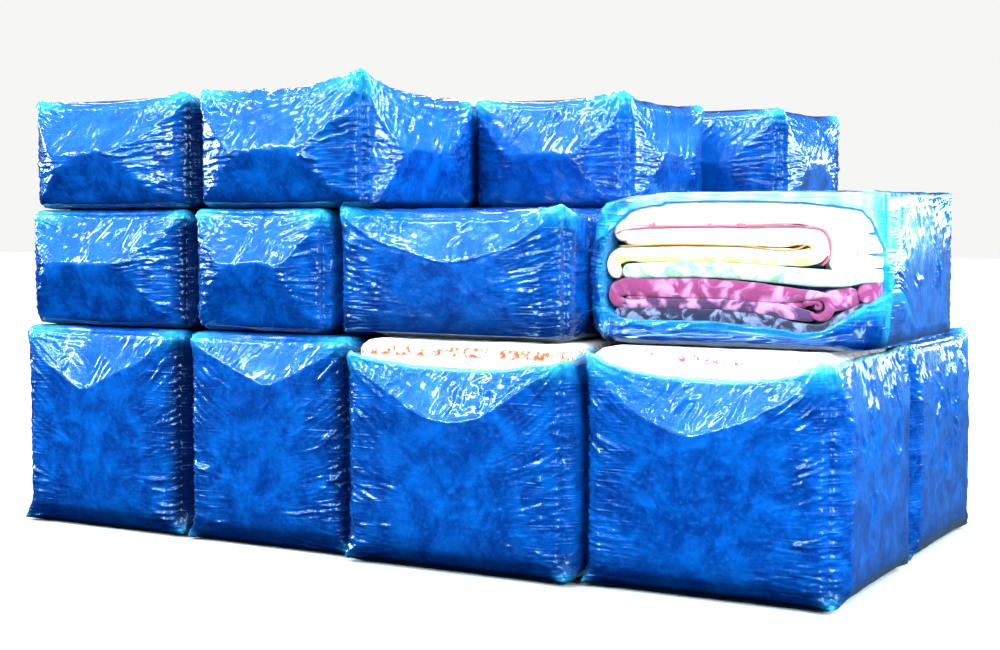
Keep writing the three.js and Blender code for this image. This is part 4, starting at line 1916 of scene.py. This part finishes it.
    def cream(self) -> list[FleeceSheet]:
        """Cream blanket: folded in two round its right end, and turned down at its left.

        Returns:
            Its fold lines.
        """
        right = arc((1.988, 1.487), (0.04, 0.038), (90, -90), (0.037, 0.034))
        left = arc((1.118, 1.4), (0.04, 0.038), (100, 270), (0.031, 0.028))
        knots = [(1.13, 1.526, 0.036), (1.5, 1.53, 0.037), (1.85, 1.526, 0.037), *right]
        knots += [(1.85, 1.445, 0.034), (1.55, 1.452, 0.034), (1.25, 1.447, 0.033), *left]
        seam = [(1.12, 1.482), (1.3, 1.488), (1.675, 1.489), (1.94, 1.48), (1.975, 1.493)]
        return [FleeceSheet(knots), self.piping([*seam, (1.99, 1.482), (1.98, 1.468)])]

    def mint(self) -> list[FleeceSheet]:
        """Mint blanket: one layer, level and then a little down, with its end up at the right.

        Returns:
            Its fold lines.
        """
        return [FleeceSheet([
            (1.12, 1.376, 0.03), (1.3, 1.384, 0.033), (1.55, 1.384, 0.034), (1.85, 1.368, 0.034),
            (2.03, 1.354, 0.033), (2.12, 1.352, 0.03), (2.2, 1.362, 0.026), (2.4, 1.366, 0.025),
        ])]

    def magenta(self) -> list[FleeceSheet]:
        """Magenta blanket: folded in two round its left end, and at the right round a curl.

        Returns:
            Its fold lines.
        """
        turn = arc((2.022, 1.237), (0.046, 0.044), (-150, -70), (0.005, 0.017), count=4)
        turn += arc((2.022, 1.237), (0.043, 0.043), (-40, 90), (0.018, 0.018), count=5)
        left = arc((1.118, 1.265), (0.034, 0.03), (90, 270), (0.034, 0.022))
        knots = [*turn, (1.94, 1.283, 0.024), (1.85, 1.286, 0.033), (1.55, 1.302, 0.041)]
        knots += [(1.25, 1.303, 0.039), *left, (1.3, 1.236, 0.022), (1.55, 1.238, 0.023)]
        knots += [(1.8, 1.224, 0.027), (1.9, 1.21, 0.028), (1.97, 1.197, 0.022), (2.0, 1.194, 0.017)]
        curl = arc((2.014, 1.238), (0.003, 0.017), (-250, 120), (0.006, 0.0085), count=12)
        curl.append((1.95, 1.248, 0.012))
        ends = (
            [(2.03, 1.25, 0.04), (2.1, 1.266, 0.042), (2.18, 1.285, 0.04)],
            [(2.17, 1.285, 0.038), (2.25, 1.298, 0.04), (2.4, 1.3, 0.038)],
        )
        return [
            FleeceSheet(knots, step=0.006, reverse_from=0.57),
            FleeceSheet(curl, step=0.004, set_back=0.006, nose=0.01),
            FleeceSheet([(1.13, 1.262, 0.013), (1.5, 1.262, 0.01), (1.96, 1.242, 0.013)],
                        set_back=0.016),
            *(FleeceSheet(end, set_back=0.012) for end in ends),
        ]

    def grey(self) -> list[FleeceSheet]:
        """Grey blanket: two layers, the lower one behind the film's lip.

        Returns:
            Its fold lines.
        """
        upper = [
            (1.08, 1.178, 0.032), (1.25, 1.183, 0.033), (1.55, 1.182, 0.032), (1.8, 1.163, 0.032),
            (1.95, 1.136, 0.03), (2.04, 1.132, 0.03), (2.12, 1.172, 0.036), (2.2, 1.21, 0.038),
            (2.4, 1.24, 0.032),
        ]
        lower = [
            (1.09, 1.122, 0.032), (1.55, 1.122, 0.032), (2.0, 1.11, 0.03), (2.12, 1.13, 0.03),
            (2.38, 1.17, 0.032),
        ]
        return [FleeceSheet(upper), FleeceSheet(lower, set_back=0.03)]


@dataclass
class Stack:
    """All the bales, found in the frame, with what hides each face worked out from their boxes."""

    boxes: dict[str, tuple[Array, Array]] = field(default_factory=dict)

    def find(self) -> None:
        """Reads every bale's box from the frame, an open bale's from all its nodes."""
        for tier in TIERS:
            for row in ROWS:
                for column in COLUMNS:
                    name = f"{tier}_{row}_{column}"
                    nodes = [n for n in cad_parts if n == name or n.startswith(name + "_")]
                    if not nodes:
                        continue
                    if BALE_KINDS.get(name) is OpenFrontBale:
                        nodes += [f"{colour}_blanket" for colour in BLANKETS]
                    corners = np.array([[list(end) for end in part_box(node)] for node in nodes])
                    self.boxes[name] = (corners[:, 0].min(axis=0), corners[:, 1].max(axis=0))

    def covered(self, name: str, side: Side) -> float:
        """Share of a bale's face that other bales or the floor press on.

        Args:
            name: the bale's name.
            side: the face.

        Returns:
            A share of 0 to 1.
        """
        low, high = self.boxes[name]
        if side is Side.UNDER and low[2] < TOUCHING:
            return 1.0
        face = high[side.axis] if side.sign > 0 else low[side.axis]
        u, v = side.plane
        total = 0.0
        for other, (other_low, other_high) in self.boxes.items():
            if other == name:
                continue
            facing = other_low[side.axis] if side.sign > 0 else other_high[side.axis]
            if abs(facing - face) > TOUCHING:
                continue
            spans = [
                max(0.0, min(high[a], other_high[a]) - max(low[a], other_low[a])) for a in (u, v)
            ]
            total += spans[0] * spans[1]
        return total / ((high[u] - low[u]) * (high[v] - low[v]))

    def hidden(self, name: str) -> set[Side]:
        """The faces of a bale that nothing shows."""
        return {side for side in Side if self.covered(name, side) > COVERED}


BALE_KINDS: dict[str, type[Bale]] = {
    "bottom_front_3": OpenTopBale,
    "bottom_front_4": OpenTopBale,
    "middle_front_4": OpenFrontBale,
}


def make_finishes() -> dict[str, bpy.types.Material]:
    """Makes the film and the fleeces, each under the name that its bale asks for.

    Returns:
        The materials.
    """
    return {
        "film": PolytheneFilm().make(),
        "bottom_front_3_fleece": MinkFleece(
            "mink_fleece_white_orange", "#F4EEE6", "#DC5A22", 30, 0.27, (0.975, 1.028)).make(),
        "bottom_front_4_fleece": MinkFleece(
            "mink_fleece_white_rose", "#F4EEEA", "#D4405F", 36, 0.19, (0.985, 1.035)).make(),
        "white_fleece": MinkFleece(
            "mink_fleece_white", "#F4EEEC", "#E9809E", 60, 0.1, reverse="#D0607E").make(),
        # Cream: its yellow print lies only in a band on the lower half of its lower layer, as
        # painted shade under the fold.
        "cream_fleece": MinkFleece(
            "mink_fleece_cream", "#F6F0DA", "#F3DC86", 120, 0.34, (1.4, 1.445), "#D29448").make(),
        "mint_fleece": MinkFleece("mink_fleece_mint", "#CCDCC4", "#86BE94", 70, 0.22).make(),
        "magenta_fleece": MinkFleece(
            "mink_fleece_magenta", "#93396A", "#D98FC0", 110, 0.24, reverse="#523158").make(),
        "grey_fleece": MinkFleece("mink_fleece_grey", "#262A42", "#7E84A8", 60, 0.26).make(),
    }


def main() -> None:
    """Builds the studio and every bale in order, and reports each piece."""
    logging.basicConfig(level=logging.INFO, format="%(message)s")
    studio = Studio()
    studio.place_camera()
    studio.build()
    finishes = make_finishes()
    stack = Stack()
    stack.find()
    total = 0
    for seed, (name, (low, high)) in enumerate(stack.boxes.items(), start=1):
        bale = BALE_KINDS.get(name, ClosedBale)(name, low, high, stack.hidden(name), seed)
        bale.build(finishes)
        for piece in bale.pieces:
            piece.data.calc_loop_triangles()
            count = len(piece.data.loop_triangles)
            total += count
            log.info("%s: %d triangles", piece.name, count)
    log.info("%d triangles in all", total)


if __name__ == "__main__":
    main()
